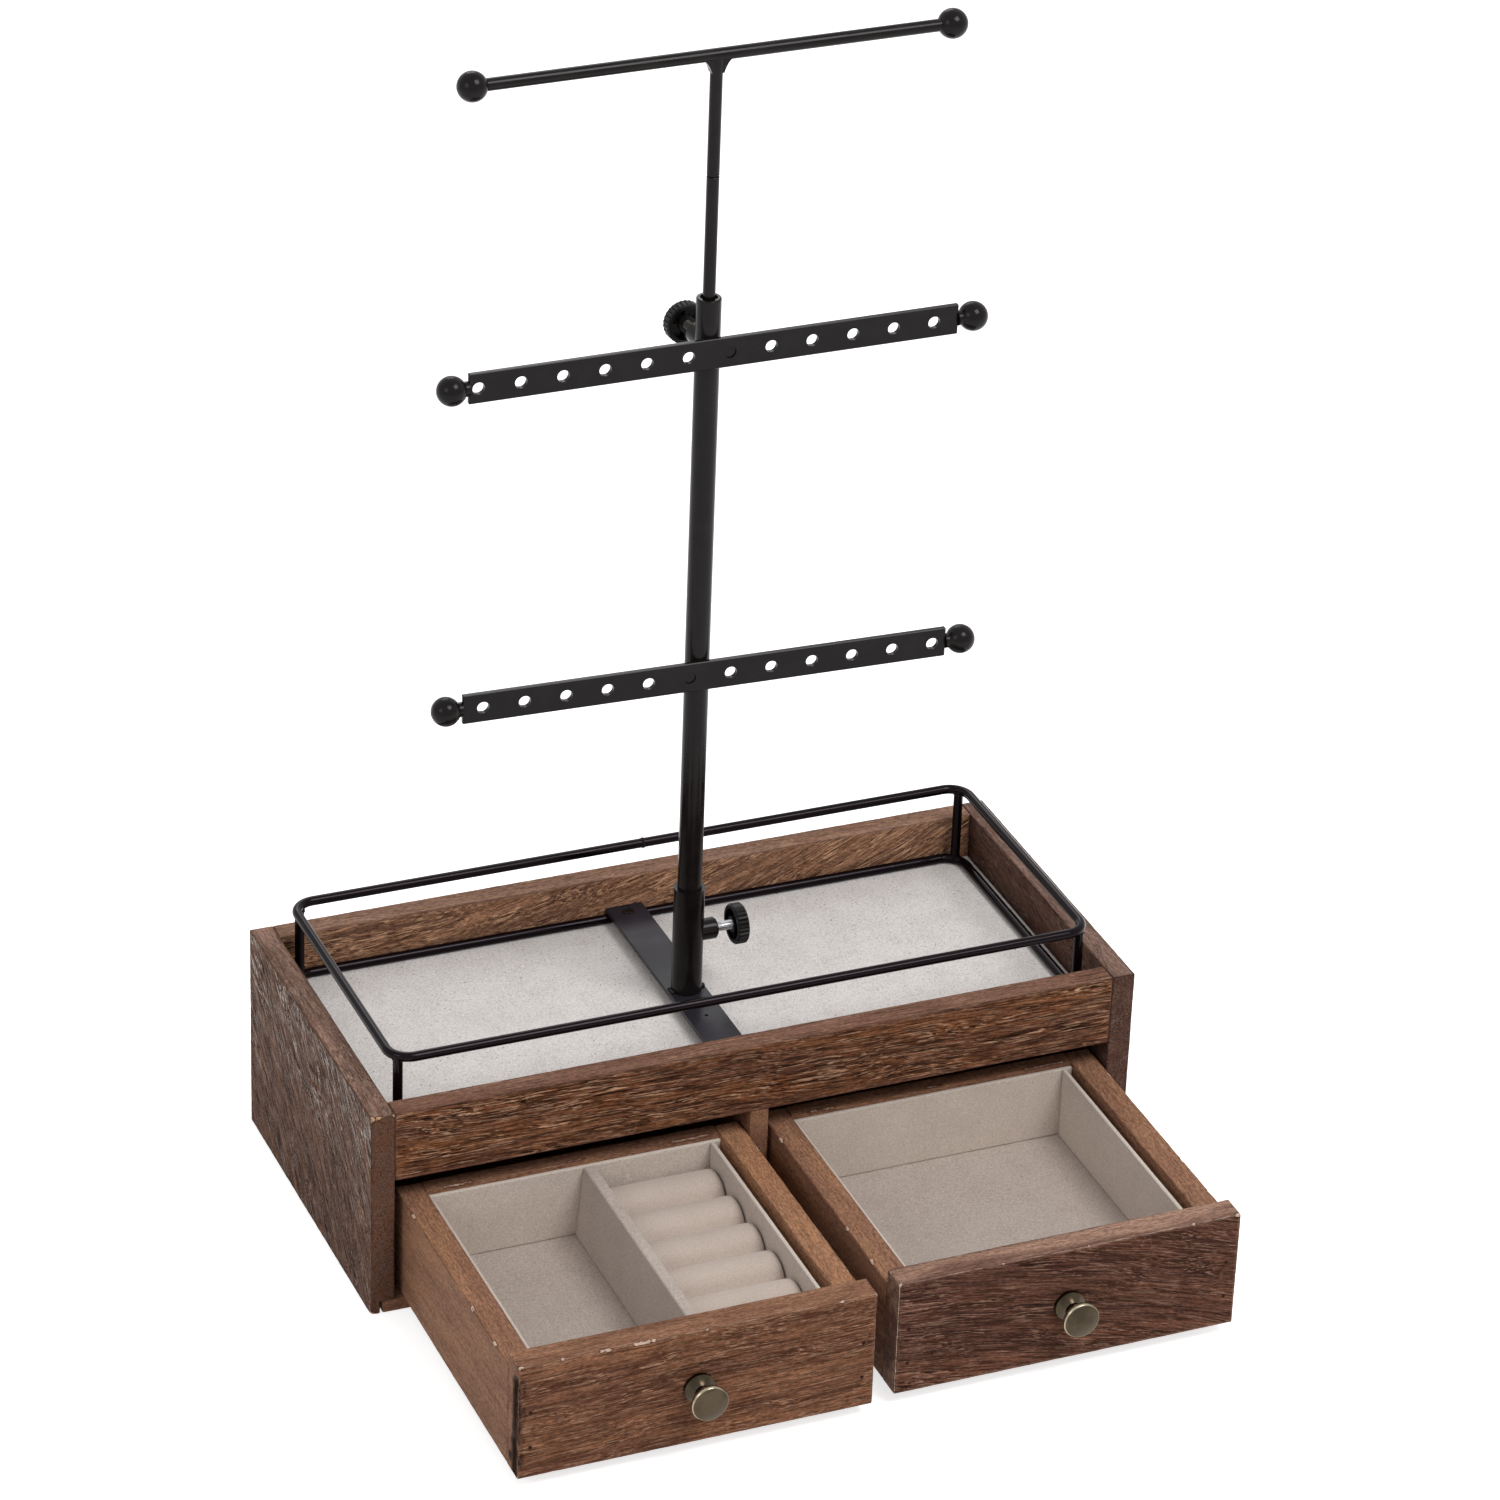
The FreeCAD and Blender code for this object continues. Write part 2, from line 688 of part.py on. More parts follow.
def lining_walls(p):
    """Four covered boards that stand on the lining floor."""
    height = (p["lining_floor"], p["lining_top"])
    across = (p["inner_left"], p["inner_right"])
    along = (p["lining_front"], p["lining_back"])
    return Part.makeCompound([
        block(across, (p["front_back"], p["lining_front"]), height),
        block(across, (p["lining_back"], p["back_face"]), height),
        block((p["inner_left"], p["lining_left"]), along, height),
        block((p["lining_right"], p["lining_right"] + drawer_lining_thk), along, height)])


def divider(p):
    """Covered board across the drawer's lining, leaning a little to the left at its foot."""
    left = p["inner_left"] + divider_place
    right = left + divider_thk
    y = p["lining_front"]
    profile = outline([Vector(left - divider_lean, y, p["lining_floor"]),
                       Vector(right - divider_lean, y, p["lining_floor"]),
                       Vector(right, y, p["lining_top"]),
                       Vector(left, y, p["lining_top"])])
    return profile.extrude(Vector(0, p["lining_back"] - y, 0))


def roll_seams(front, back):
    """Creases between the rolls: full ones from the back, and one that takes what is left."""
    full = int((back - front) / roll_pitch)
    seams = [back - index * roll_pitch for index in range(full + 1)]
    return seams + [front] if seams[-1] > front else seams


def ring_rolls(p):
    """Row of soft rolls that grip rings between them, as one closed pad."""
    x_low = p["inner_left"] + divider_place + divider_thk + slide_gap
    x_high = p["lining_right"] - slide_gap
    back = p["lining_back"] - slide_gap
    front = p["lining_front"] + slide_gap
    foot = p["lining_floor"]
    crease = foot + roll_crease
    rise = roll_crest - roll_crease
    radius = (roll_pitch * roll_pitch / 4 + rise * rise) / (2 * rise)
    corners = [Vector(x_low, front, crease), Vector(x_low, front, foot),
               Vector(x_low, back, foot), Vector(x_low, back, crease)]
    edges = [Part.LineSegment(start, end).toShape() for start, end in zip(corners, corners[1:])]
    seams = roll_seams(front, back)
    for start, end in zip(seams, seams[1:]):
        half = (start - end) / 2
        crest = crease + radius - math.sqrt(radius * radius - half * half)
        edges.append(Part.Arc(Vector(x_low, start, crease), Vector(x_low, start - half, crest),
                              Vector(x_low, end, crease)).toShape())
    return Part.Face(Part.Wire(edges)).extrude(Vector(x_high - x_low, 0, 0))


def knob_screw(p, clearance):
    """Screw from inside the drawer, its head let into the back of the front board."""
    axis_z = p["knob_height"]

    def at(y):
        return Vector(p["middle"], y, axis_z)

    head_front = p["front_back"] - knob_screw_head_height
    head = rod(knob_screw_head / 2 + clearance, at(head_front), at(p["front_back"]))
    thread = rod(knob_screw_dia / 2 + clearance, at(p["front"] - knob_screw_bite - clearance),
                 at(head_front))
    return head.fuse(thread)


def drawer_knob(p):
    """Turned knob: a collar on the board, a waisted neck and a crowned disc."""
    def at(radius, out):
        return Vector(p["middle"] + radius, p["front"] - out, p["knob_height"])

    base = knob_base_dia / 2
    neck = knob_neck_dia / 2
    disc = knob_disc_dia / 2
    edge = disc - knob_rim_bulge
    rim_front = knob_length - knob_crown
    rim_back = rim_front - knob_rim_thk
    bore = knob_screw_dia / 2 + press_fit
    bore_end = knob_screw_bite + press_fit
    crown = (edge * edge + knob_crown * knob_crown) / (2 * knob_crown)

    def dome(angle):
        return at(crown * math.sin(angle), knob_length - crown * (1 - math.cos(angle)))

    edges = [Part.LineSegment(at(bore, 0), at(base, 0)).toShape(),
             Part.LineSegment(at(base, 0), at(base, knob_base_thk)).toShape(),
             Part.Arc(at(base, knob_base_thk), at(knob_sweep_dia / 2, knob_sweep_place),
                      at(neck, knob_waist)).toShape(),
             Part.LineSegment(at(neck, knob_waist), at(neck, knob_neck_end)).toShape(),
             Part.Arc(at(neck, knob_neck_end), at(knob_bell_dia / 2, (knob_neck_end + rim_back) / 2),
                      at(edge, rim_back)).toShape(),
             Part.Arc(at(edge, rim_back), at(disc, (rim_back + rim_front) / 2),
                      at(edge, rim_front)).toShape(),
             Part.Arc(at(edge, rim_front), dome(math.asin(edge / crown) / 2),
                      at(0, knob_length)).toShape(),
             Part.LineSegment(at(0, knob_length), at(0, bore_end)).toShape(),
             Part.LineSegment(at(0, bore_end), at(bore, bore_end)).toShape(),
             Part.LineSegment(at(bore, bore_end), at(bore, 0)).toShape()]
    return Part.Face(Part.Wire(edges)).revolve(at(0, 0), Vector(0, 1, 0), 360)


def drawer(name, middle, front):
    """Every rigid piece of one drawer, by node name."""
    p = drawer_places(middle, front)
    pieces = {"front": drawer_front(p),
              "left_side": drawer_side(p, p["left"], p["inner_left"]),
              "right_side": drawer_side(p, p["inner_right"], p["right"]),
              "back": drawer_back(p),
              "floor": drawer_floor(p),
              "lining_floor": lining_floor(p),
              "lining_walls": lining_walls(p),
              "knob": drawer_knob(p),
              "knob_screw": knob_screw(p, 0),
              "brads": Part.makeCompound(brads(p, 0))}
    return {name + "_" + piece: shape for piece, shape in pieces.items()}


# ---------------------------------------------------------------- assembly
def stand():
    nodes = {"left_end_panel": end_panel(case_left, inner_left),
             "right_end_panel": end_panel(inner_right, case_right),
             "front_rail": front_rail(),
             "back_panel": back_panel(),
             "bottom_board": bottom_board(),
             "centre_partition": centre_partition(),
             "tray_deck": tray_deck(),
             "tray_lining": tray_lining(),
             "gallery_lower_loop": wire_loop(lower_wire),
             "gallery_upper_loop": wire_loop(upper_wire),
             "gallery_posts": gallery_posts(),
             "cross_strap": cross_strap(),
             "strap_screw": strap_screw(),
             "socket_tube": socket_tube(),
             "base_screw_boss": on_mast(screw_boss(socket_dia / 2), base_screw_turn,
                                        base_screw_height),
             "base_screw_shank": on_mast(screw_shank(socket_dia / 2, mast_dia / 2),
                                         base_screw_turn, base_screw_height),
             "base_screw_knob": on_mast(screw_knob(socket_dia / 2), base_screw_turn,
                                        base_screw_height),
             "mast_tube": mast_tube(),
             "mast_guide_bush": guide_bush(),
             "mast_screw_boss": on_mast(screw_boss(mast_dia / 2), mast_screw_turn,
                                        mast_screw_height),
             "mast_screw_shank": on_mast(screw_shank(mast_dia / 2, rod_dia / 2),
                                         mast_screw_turn, mast_screw_height),
             "mast_screw_knob": on_mast(screw_knob(mast_dia / 2), mast_screw_turn,
                                        mast_screw_height),
             "lower_earring_bar": earring_bar(lower_bar_height, lower_bar_swing, lower_bar_shift,
                                              lower_hole_shift, lower_dimple),
             "lower_bar_balls": bar_balls(lower_bar_height, lower_bar_swing, lower_bar_shift),
             "upper_earring_bar": earring_bar(upper_bar_height, upper_bar_swing, upper_bar_shift,
                                              upper_hole_shift, upper_dimple),
             "upper_bar_balls": bar_balls(upper_bar_height, upper_bar_swing, upper_bar_shift),
             "t_lower_rod": lower_rod(),
             "t_upper_rod": upper_rod(),
             "t_bar": t_bar(),
             "t_bar_balls": t_balls()}
    left_front = case_front - left_drawer_open
    right_front = case_front - right_drawer_open
    left_middle = -bay_offset + left_drawer_shift
    nodes.update(drawer("left_drawer", left_middle, left_front))
    nodes.update(drawer("right_drawer", bay_offset, right_front))
    left_places = drawer_places(left_middle, left_front)
    nodes["left_drawer_divider"] = divider(left_places)
    nodes["left_drawer_ring_rolls"] = ring_rolls(left_places)
    return nodes


os.makedirs("parts", exist_ok=True)
for node, shape in stand().items():
    shape.exportStep(os.path.join("parts", node + ".step"))
    print(node, len(shape.Solids), "solid(s)", round(shape.Volume, 1), "mm3")
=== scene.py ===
# %% [markdown]
# Dressing a jewellery stand.
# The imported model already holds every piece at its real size: a wooden case with a lined tray, two drawers,
# a wire gallery and a telescoping steel tree. Here each piece gets its finish. Sawn boards, cloth linings
# and the soft ring rolls are made again as finer meshes, while turned and bent metal keeps its own mesh.

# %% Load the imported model
import json
import math

import bpy
import numpy as np
from mathutils import Matrix, Vector, noise
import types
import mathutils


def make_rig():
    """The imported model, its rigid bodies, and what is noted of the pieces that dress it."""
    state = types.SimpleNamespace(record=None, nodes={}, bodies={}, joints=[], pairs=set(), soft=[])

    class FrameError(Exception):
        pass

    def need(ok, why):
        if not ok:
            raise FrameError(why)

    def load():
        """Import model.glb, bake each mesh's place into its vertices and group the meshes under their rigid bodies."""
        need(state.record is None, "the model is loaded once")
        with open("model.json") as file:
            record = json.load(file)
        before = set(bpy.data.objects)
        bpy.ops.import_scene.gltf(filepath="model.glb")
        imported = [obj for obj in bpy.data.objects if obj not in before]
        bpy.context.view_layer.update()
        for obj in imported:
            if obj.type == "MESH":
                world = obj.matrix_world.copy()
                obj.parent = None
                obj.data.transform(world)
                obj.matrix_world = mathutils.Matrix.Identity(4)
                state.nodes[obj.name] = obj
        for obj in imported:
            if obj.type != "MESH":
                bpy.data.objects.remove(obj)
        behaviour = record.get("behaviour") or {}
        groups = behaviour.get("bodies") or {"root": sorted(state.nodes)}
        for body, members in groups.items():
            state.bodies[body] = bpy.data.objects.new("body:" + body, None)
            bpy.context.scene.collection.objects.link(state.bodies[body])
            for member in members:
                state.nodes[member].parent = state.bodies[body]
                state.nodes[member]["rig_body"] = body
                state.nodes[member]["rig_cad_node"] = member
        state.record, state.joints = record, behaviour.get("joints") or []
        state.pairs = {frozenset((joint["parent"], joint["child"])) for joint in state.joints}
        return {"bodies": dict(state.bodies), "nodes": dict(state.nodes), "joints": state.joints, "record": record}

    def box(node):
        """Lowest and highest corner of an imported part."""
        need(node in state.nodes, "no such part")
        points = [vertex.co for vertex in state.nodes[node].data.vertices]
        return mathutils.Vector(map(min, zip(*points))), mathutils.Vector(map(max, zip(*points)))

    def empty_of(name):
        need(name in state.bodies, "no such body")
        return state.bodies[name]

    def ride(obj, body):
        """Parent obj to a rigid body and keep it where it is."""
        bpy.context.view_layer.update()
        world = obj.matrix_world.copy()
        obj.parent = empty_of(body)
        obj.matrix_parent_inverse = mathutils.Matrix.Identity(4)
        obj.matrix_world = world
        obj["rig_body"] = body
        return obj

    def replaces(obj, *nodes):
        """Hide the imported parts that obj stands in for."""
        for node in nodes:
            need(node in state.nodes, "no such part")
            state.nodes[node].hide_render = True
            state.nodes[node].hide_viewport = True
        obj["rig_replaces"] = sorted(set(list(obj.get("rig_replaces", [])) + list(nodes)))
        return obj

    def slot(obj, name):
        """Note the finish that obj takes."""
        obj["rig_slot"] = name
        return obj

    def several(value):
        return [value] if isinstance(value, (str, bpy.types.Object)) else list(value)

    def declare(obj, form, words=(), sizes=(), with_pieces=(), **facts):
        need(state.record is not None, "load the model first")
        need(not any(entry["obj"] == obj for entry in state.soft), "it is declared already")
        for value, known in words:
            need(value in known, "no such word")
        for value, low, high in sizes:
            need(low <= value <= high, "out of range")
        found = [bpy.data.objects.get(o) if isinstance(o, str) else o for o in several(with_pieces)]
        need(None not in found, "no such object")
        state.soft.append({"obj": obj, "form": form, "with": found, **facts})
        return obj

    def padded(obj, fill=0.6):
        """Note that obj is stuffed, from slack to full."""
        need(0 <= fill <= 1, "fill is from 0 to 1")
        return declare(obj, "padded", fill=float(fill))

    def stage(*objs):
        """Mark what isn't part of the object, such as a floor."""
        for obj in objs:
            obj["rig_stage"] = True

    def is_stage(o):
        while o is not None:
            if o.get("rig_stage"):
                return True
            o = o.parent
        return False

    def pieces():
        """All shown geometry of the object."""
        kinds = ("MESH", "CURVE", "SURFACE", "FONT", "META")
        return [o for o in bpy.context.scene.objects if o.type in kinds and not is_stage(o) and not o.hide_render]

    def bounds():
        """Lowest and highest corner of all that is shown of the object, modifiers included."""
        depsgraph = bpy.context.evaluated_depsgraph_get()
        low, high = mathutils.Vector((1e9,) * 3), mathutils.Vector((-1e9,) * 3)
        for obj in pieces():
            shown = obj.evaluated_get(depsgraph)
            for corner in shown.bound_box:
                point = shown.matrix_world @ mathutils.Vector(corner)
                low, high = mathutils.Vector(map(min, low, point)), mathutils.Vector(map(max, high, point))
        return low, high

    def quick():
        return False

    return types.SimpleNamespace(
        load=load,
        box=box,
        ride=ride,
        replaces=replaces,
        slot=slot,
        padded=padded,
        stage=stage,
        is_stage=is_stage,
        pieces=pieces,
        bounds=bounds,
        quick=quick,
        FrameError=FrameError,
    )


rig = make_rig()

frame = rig.load()
nodes = frame["nodes"]
mm = 0.001
scene = bpy.context.scene
cad_box = [list(corner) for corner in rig.bounds()]
print("nodes", len(nodes), "box", cad_box)


def add_object(name, data):
    """Put one new object in the scene."""
    made = bpy.data.objects.new(name, data)
    scene.collection.objects.link(made)
    return made


# %% [markdown]
# The camera comes first, so that every later choice can be looked at from the same side. Its direction is
# worked out from three angles, because a yaw, a pitch and a small roll say more than a matrix of nine
# numbers.

# %% Camera
camera_place = Vector((-803.28, -1904.68, 1341.80)) * mm
camera_yaw = math.radians(23.441)
camera_pitch = math.radians(-29.169)
camera_roll = math.radians(2.196)

turn = (Matrix.Rotation(-camera_yaw, 4, "Z") @ Matrix.Rotation(math.pi / 2 + camera_pitch, 4, "X")
        @ Matrix.Rotation(camera_roll, 4, "Z"))
camera = add_object("camera", bpy.data.cameras.new("camera"))
camera.data.lens = 141.495
camera.data.sensor_width = 36
camera.data.clip_end = 50
camera.matrix_world = Matrix.Translation(camera_place) @ turn
scene.camera = camera
scene.view_settings.view_transform = "Standard"
print("camera looks along", tuple(round(-part, 3) for part in turn.col[2][:3]))

# %% [markdown]
# A material or a node group is a small graph. These helpers add one node at a time, set its options and
# fill its inputs by name, with a link where the value is another node's output. A node goes into the tree
# that its linked inputs come from, so every graph below is a short list of calls.

# %% Node helpers
def is_socket(value):
    return isinstance(value, bpy.types.NodeSocket)


def fill(sockets, **values):
    """Set or link inputs by name, written with _ for each space, or as i0, i1 for their number."""
    for name, value in values.items():
        socket = sockets[int(name[1:]) if name[1:].isdigit() else name.replace("_", " ")]
        if is_socket(value):
            value.id_data.links.new(value, socket)
        else:
            socket.default_value = value


def put(kind, options=None, **inputs):
    """Add one node with at least one linked input."""
    made = next(value for value in inputs.values() if is_socket(value)).id_data.nodes.new(kind)
    for name, value in (options or {}).items():
        setattr(made, name, value)
    fill(made.inputs, **inputs)
    return made


def maths(operation, first, second=0.0, third=0.0):
    """One number worked out from up to three others."""
    return put("ShaderNodeMath", {"operation": operation}, i0=first, i1=second, i2=third).outputs[0]


def times(first, second):
    return maths("MULTIPLY", first, second)


def vector_maths(operation, first, second):
    """One vector worked out from two others."""
    return put("ShaderNodeVectorMath", {"operation": operation}, i0=first, i1=second).outputs[0]


def scaled(vector, factor):
    """Vector or colour times a number."""
    return put("ShaderNodeVectorMath", {"operation": "SCALE"}, Vector=vector, Scale=factor).outputs[0]


def ramp(value, low, high, start=0.0, end=1.0):
    """Smooth step of a number from start at low to end at high."""
    return put("ShaderNodeMapRange", {"interpolation_type": "SMOOTHSTEP"}, Value=value, From_Min=low,
               From_Max=high, To_Min=start, To_Max=end).outputs["Result"]


def blend(share, first, second):
    """Mix of two colours."""
    return put("ShaderNodeMix", {"data_type": "RGBA"}, i0=share, i6=first, i7=second).outputs[2]


def speckle(vector, detail=2.0, roughness=0.5):
    """Soft noise with cells one unit across."""
    return put("ShaderNodeTexNoise", Vector=vector, Scale=1.0, Detail=detail, Roughness=roughness).outputs[0]


def stretched(vector, along, across):
    """Coordinates divided by a length along the grain and one across it, both plain numbers."""
    return vector_maths("MULTIPLY", vector, (1 / along, 1 / across, 1 / across))


def drawn_out(vector, along, across):
    """The same for lengths that are group inputs."""
    finer = maths("DIVIDE", 1.0, across)
    size = put("ShaderNodeCombineXYZ", X=maths("DIVIDE", 1.0, along), Y=finer, Z=finer).outputs[0]
    return vector_maths("MULTIPLY", vector, size)


def noise_of_size(vector, size, detail=2.0, roughness=0.6, shift=0.0):
    """Noise with cells as long as a socket or a number says, moved sideways to be a different one."""
    step = scaled(vector, maths("DIVIDE", 1.0, size) if is_socket(size) else 1 / size)
    return speckle(vector_maths("ADD", step, (shift, shift, shift)), detail, roughness)


def bumped(strength, distance, height):
    """Normal of a surface with a fine relief."""
    return put("ShaderNodeBump", Strength=strength, Distance=distance, Height=height).outputs[0]


def new_group(kind, name, inputs, outputs):
    """Empty node group; each input comes with its default number, or else with its kind."""
    tree = bpy.data.node_groups.new(name, kind)
    numbers = {float: "Float", int: "Int"}
    for label, value in inputs.items():
        socket = tree.interface.new_socket(label, in_out="INPUT", socket_type="NodeSocket" + numbers.get(
            type(value), str(value)))
        if type(value) in numbers:
            socket.default_value = value
    for label in outputs:
        tree.interface.new_socket(label, in_out="OUTPUT", socket_type="NodeSocket" + (
            "Geometry" if kind == "GeometryNodeTree" else "Float"))
    return tree, tree.nodes.new("NodeGroupInput").outputs, tree.nodes.new("NodeGroupOutput").inputs


def new_material(name):
    """Empty material with a Principled shader; returns the material, its tree and the shader."""
    material = bpy.data.materials.new(name)
    material.use_nodes = True
    tree = material.node_tree
    return material, tree, tree.nodes["Principled BSDF"]


def object_place(tree):
    """Coordinates of the object itself."""
    return tree.nodes.new("ShaderNodeTexCoord").outputs["Object"]


def display(red, green, blue):
    """Colour as a screen shows it, 0 to 255, turned into the light values that a shader takes."""
    def linear(value):
        value /= 255
        return value / 12.92 if value <= 0.04045 else ((value + 0.055) / 1.055) ** 2.4
    return (linear(red), linear(green), linear(blue), 1.0)


# %% [markdown]
# The stand is lit as a product is on a white table: one broad soft lamp above and to the right, a weaker
# one at the left, and an even white surround. The floor is plain white. It adds a little light of its own
# for the camera only, so it stays white without more lamps, and the stand's faint shadow still falls on it.

# %% Floor, surround and lamps
floor_size = 14.0
floor_glow = 0.70
surround_strength = 0.52


def seen_directly(tree):
    """1 for camera, mirror and glass rays, and 0 for rays that light other things."""
    path = tree.nodes.new("ShaderNodeLightPath")
    both = maths("MAXIMUM", path.outputs["Is Camera Ray"], path.outputs["Is Glossy Ray"])
    return maths("MAXIMUM", both, path.outputs["Is Transmission Ray"])


half = floor_size / 2
floor_mesh = bpy.data.meshes.new("floor")
floor_mesh.from_pydata([(-half, -half, 0), (half, -half, 0), (half, half, 0), (-half, half, 0)], [],
                       [(0, 1, 2, 3)])
floor = add_object("floor", floor_mesh)
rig.stage(floor)
floor_material, tree, shader = new_material("white_table")
fill(shader.inputs, Base_Color=(0.80, 0.80, 0.80, 1), Roughness=0.9)
glow = put("ShaderNodeEmission", Color=(1, 1, 1, 1), Strength=times(seen_directly(tree), floor_glow))
both = put("ShaderNodeAddShader", i0=shader.outputs[0], i1=glow.outputs[0])
fill(tree.nodes["Material Output"].inputs, Surface=both.outputs[0])
floor_mesh.materials.append(floor_material)

world = bpy.data.worlds.new("surround")
world.use_nodes = True
strength = ramp(seen_directly(world.node_tree), 0.0, 1.0, surround_strength, 1.0)
fill(world.node_tree.nodes["Background"].inputs, Color=(1, 1, 1, 1), Strength=strength)
scene.world = world
aim = Vector((0, 0, 0.15))
for name, place, size, energy in (("key_lamp", (0.55, -1.1, 1.9), 0.9, 25),
                                  ("side_lamp", (-1.6, -0.7, 1.2), 0.8, 5),
                                  ("back_lamp", (0.3, 1.6, 1.5), 0.9, 7)):
    lamp = add_object(name, bpy.data.lights.new(name, "AREA"))
    lamp.data.size = size
    lamp.data.energy = energy
    lamp.location = place
    lamp.rotation_euler = (aim - Vector(place)).to_track_quat("-Z", "Y").to_euler()
print("lamps", [item.name for item in scene.objects if item.type == "LIGHT"])

# %% [markdown]
# Stained and wire-brushed wood has dark soft grain cut away between paler ridges, broad bands of tone, and
# pale fibres where the brush tore the surface. All the boards share this one node group. Each board brings
# its own coordinates, first along its grain and then across it, so one group serves boards that lie in any
# direction.

# %% Grain shared by all the boards
grain, given, results = new_group("ShaderNodeTree", "stained_grain", {
    "Vector": "Vector", "Line Width": 0.0009, "Line Length": 0.024, "Waviness": 0.0012},
    ("Tone", "Lines", "Fibres", "Grit", "Height"))
sway = maths("SUBTRACT", speckle(stretched(given["Vector"], 0.055, 0.016), 1.0), 0.5)
sway = times(times(sway, given["Waviness"]), 8.0)
bent = vector_maths("ADD", given["Vector"], put("ShaderNodeCombineXYZ", Y=sway, Z=sway).outputs[0])


def streaks(finer, shorter, detail, shift):
    """Noise drawn out along the grain, finer and shorter than the board's main lines."""
    place = drawn_out(bent, maths("DIVIDE", given["Line Length"], shorter),
                      maths("DIVIDE", given["Line Width"], finer))
    return speckle(vector_maths("ADD", place, (shift, shift, shift)), detail, 0.6)


busy = ramp(streaks(0.2, 0.5, 2.0, 3.0), 0.38, 0.60, 0.4, 1.0)
main_lines = times(ramp(streaks(0.65, 1.0, 3.0, 7.0), 0.46, 0.36), 0.8)
pores = times(ramp(streaks(1.6, 1.8, 2.0, 13.0), 0.535, 0.595), busy)
lines = maths("MAXIMUM", main_lines, pores)
fibres = times(ramp(streaks(1.9, 1.7, 2.0, 29.0), 0.54, 0.60), busy)
fill(results, Tone=ramp(streaks(0.11, 0.35, 3.0, 0.0), 0.36, 0.62), Lines=lines, Fibres=fibres,
     Grit=speckle(stretched(given["Vector"], 0.0022, 0.0007), 3.0, 0.7),
     Height=maths("SUBTRACT", times(fibres, 0.6), lines))
print("node group", grain.name)

# %% [markdown]
# Sawn corners lose their stain first. Each board mesh stores how near a point is to an edge, and this group
# breaks that value up with noise, so pale wood shows in small patches and not as an even stripe.

# %% Wear along the edges
wear, given, results = new_group("ShaderNodeTree", "edge_wear", {
    "Vector": "Vector", "Edge": 0.0, "Amount": 0.5}, ("Mask",))
patches = speckle(stretched(given["Vector"], 0.008, 0.002), 4.0, 0.7)
fill(results, Mask=ramp(maths("ADD", patches, times(given["Edge"], given["Amount"])), 0.92, 1.06))
print("node group", wear.name)

# %% [markdown]
# Every wood is the same list of layers with its own colours, written as a screen shows them: the dark
# lines, the middle tone, a cooler tone, the pale fibres and the sawn edges. The raw wood under the stain
# comes next, and last a lighter colour for upward sawn faces, which is painted light from above.

# %% Wood materials
dark_band_colour = display(30, 18, 12)
raw_wood = (206, 178, 160)


def attribute(tree, name, output="Fac"):
    """A value stored on the mesh."""
    made = tree.nodes.new("ShaderNodeAttribute")
    made.attribute_name = name
    return made.outputs[output]


def wood(name, dark, middle, cool, pale, sawn, raw=raw_wood, top=None, line_width=0.9, line_length=24,
         waviness=1.2, line_strength=0.9, fibre_strength=0.5, plain_share=0.45, wear_amount=0.4, bump=0.7):
    """Stained board: cool and warm patches, dark lines and pale fibres, plainer on its sawn edges, with painted light
    on upward sawn faces.
    """
    dark, middle, cool, pale, sawn, raw, top = [
        display(*colour) for colour in (dark, middle, cool, pale, sawn, raw, top or sawn)]
    material, tree, shader = new_material(name)
    place = attribute(tree, "grain_place", "Vector")
    brushed, edge, chip = [attribute(tree, label) for label in ("brushed", "edge", "chip")]
    layers = put("ShaderNodeGroup", {"node_tree": grain}, Vector=place, Line_Width=line_width * mm,
                 Line_Length=line_length * mm, Waviness=waviness * mm).outputs
    show = ramp(brushed, 0.0, 1.0, plain_share, 1.0)
    lines = maths("MAXIMUM", layers["Lines"], times(attribute(tree, "groove"), 0.75))
    lines = times(lines, times(show, line_strength))
    torn_up = maths("MULTIPLY_ADD", times(attribute(tree, "weather"), brushed), 0.9, fibre_strength)
    colour = blend(maths("SUBTRACT", 1.0, brushed), middle, sawn)
    # Upward sawn faces take the top colour: painted light, as if lit from above.
    colour = blend(attribute(tree, "upward"), colour, top)
    colour = blend(times(layers["Tone"], 0.75), colour, cool)
    colour = blend(lines, colour, dark)
    colour = blend(times(layers["Fibres"], times(show, torn_up)), colour, pale)
    colour = scaled(colour, ramp(layers["Grit"], 0.35, 0.65, 0.68, 1.30))
    deep = ramp(speckle(stretched(place, 0.02, 0.02), 2.0), 0.40, 0.62, 0.15, 0.85)
    colour = blend(times(maths("POWER", edge, 2.0), deep), colour, dark)
    colour = blend(ramp(chip, 0.02, 0.30, 0.0, 0.6), colour, dark)
    # Darker bands along lines given for the board, broken up by noise; only the left drawer front has them, and they
    # also lower its specular.
    band_noise = speckle(stretched(place, 0.0025, 0.006), 3.0)
    banded = maths("MULTIPLY_ADD", band_noise, 0.9, attribute(tree, "stain"))
    colour = blend(ramp(banded, 0.72, 1.05, 0.0, 0.9), colour, dark_band_colour)
    worn = put("ShaderNodeGroup", {"node_tree": wear}, Vector=place, Edge=edge, Amount=wear_amount).outputs[0]
    torn = ramp(maths("MULTIPLY_ADD", layers["Grit"], 2.0, chip), 1.70, 1.95)
    fill(shader.inputs, Base_Color=blend(maths("MAXIMUM", times(worn, 0.6), torn), colour, raw),
         Roughness=ramp(lines, 0.0, 1.0, 0.62, 0.9), Specular_IOR_Level=ramp(banded, 1.0, 1.3, 0.07, 0.0),
         Normal=bumped(bump, 0.0003, times(layers["Height"], show)))
    return material


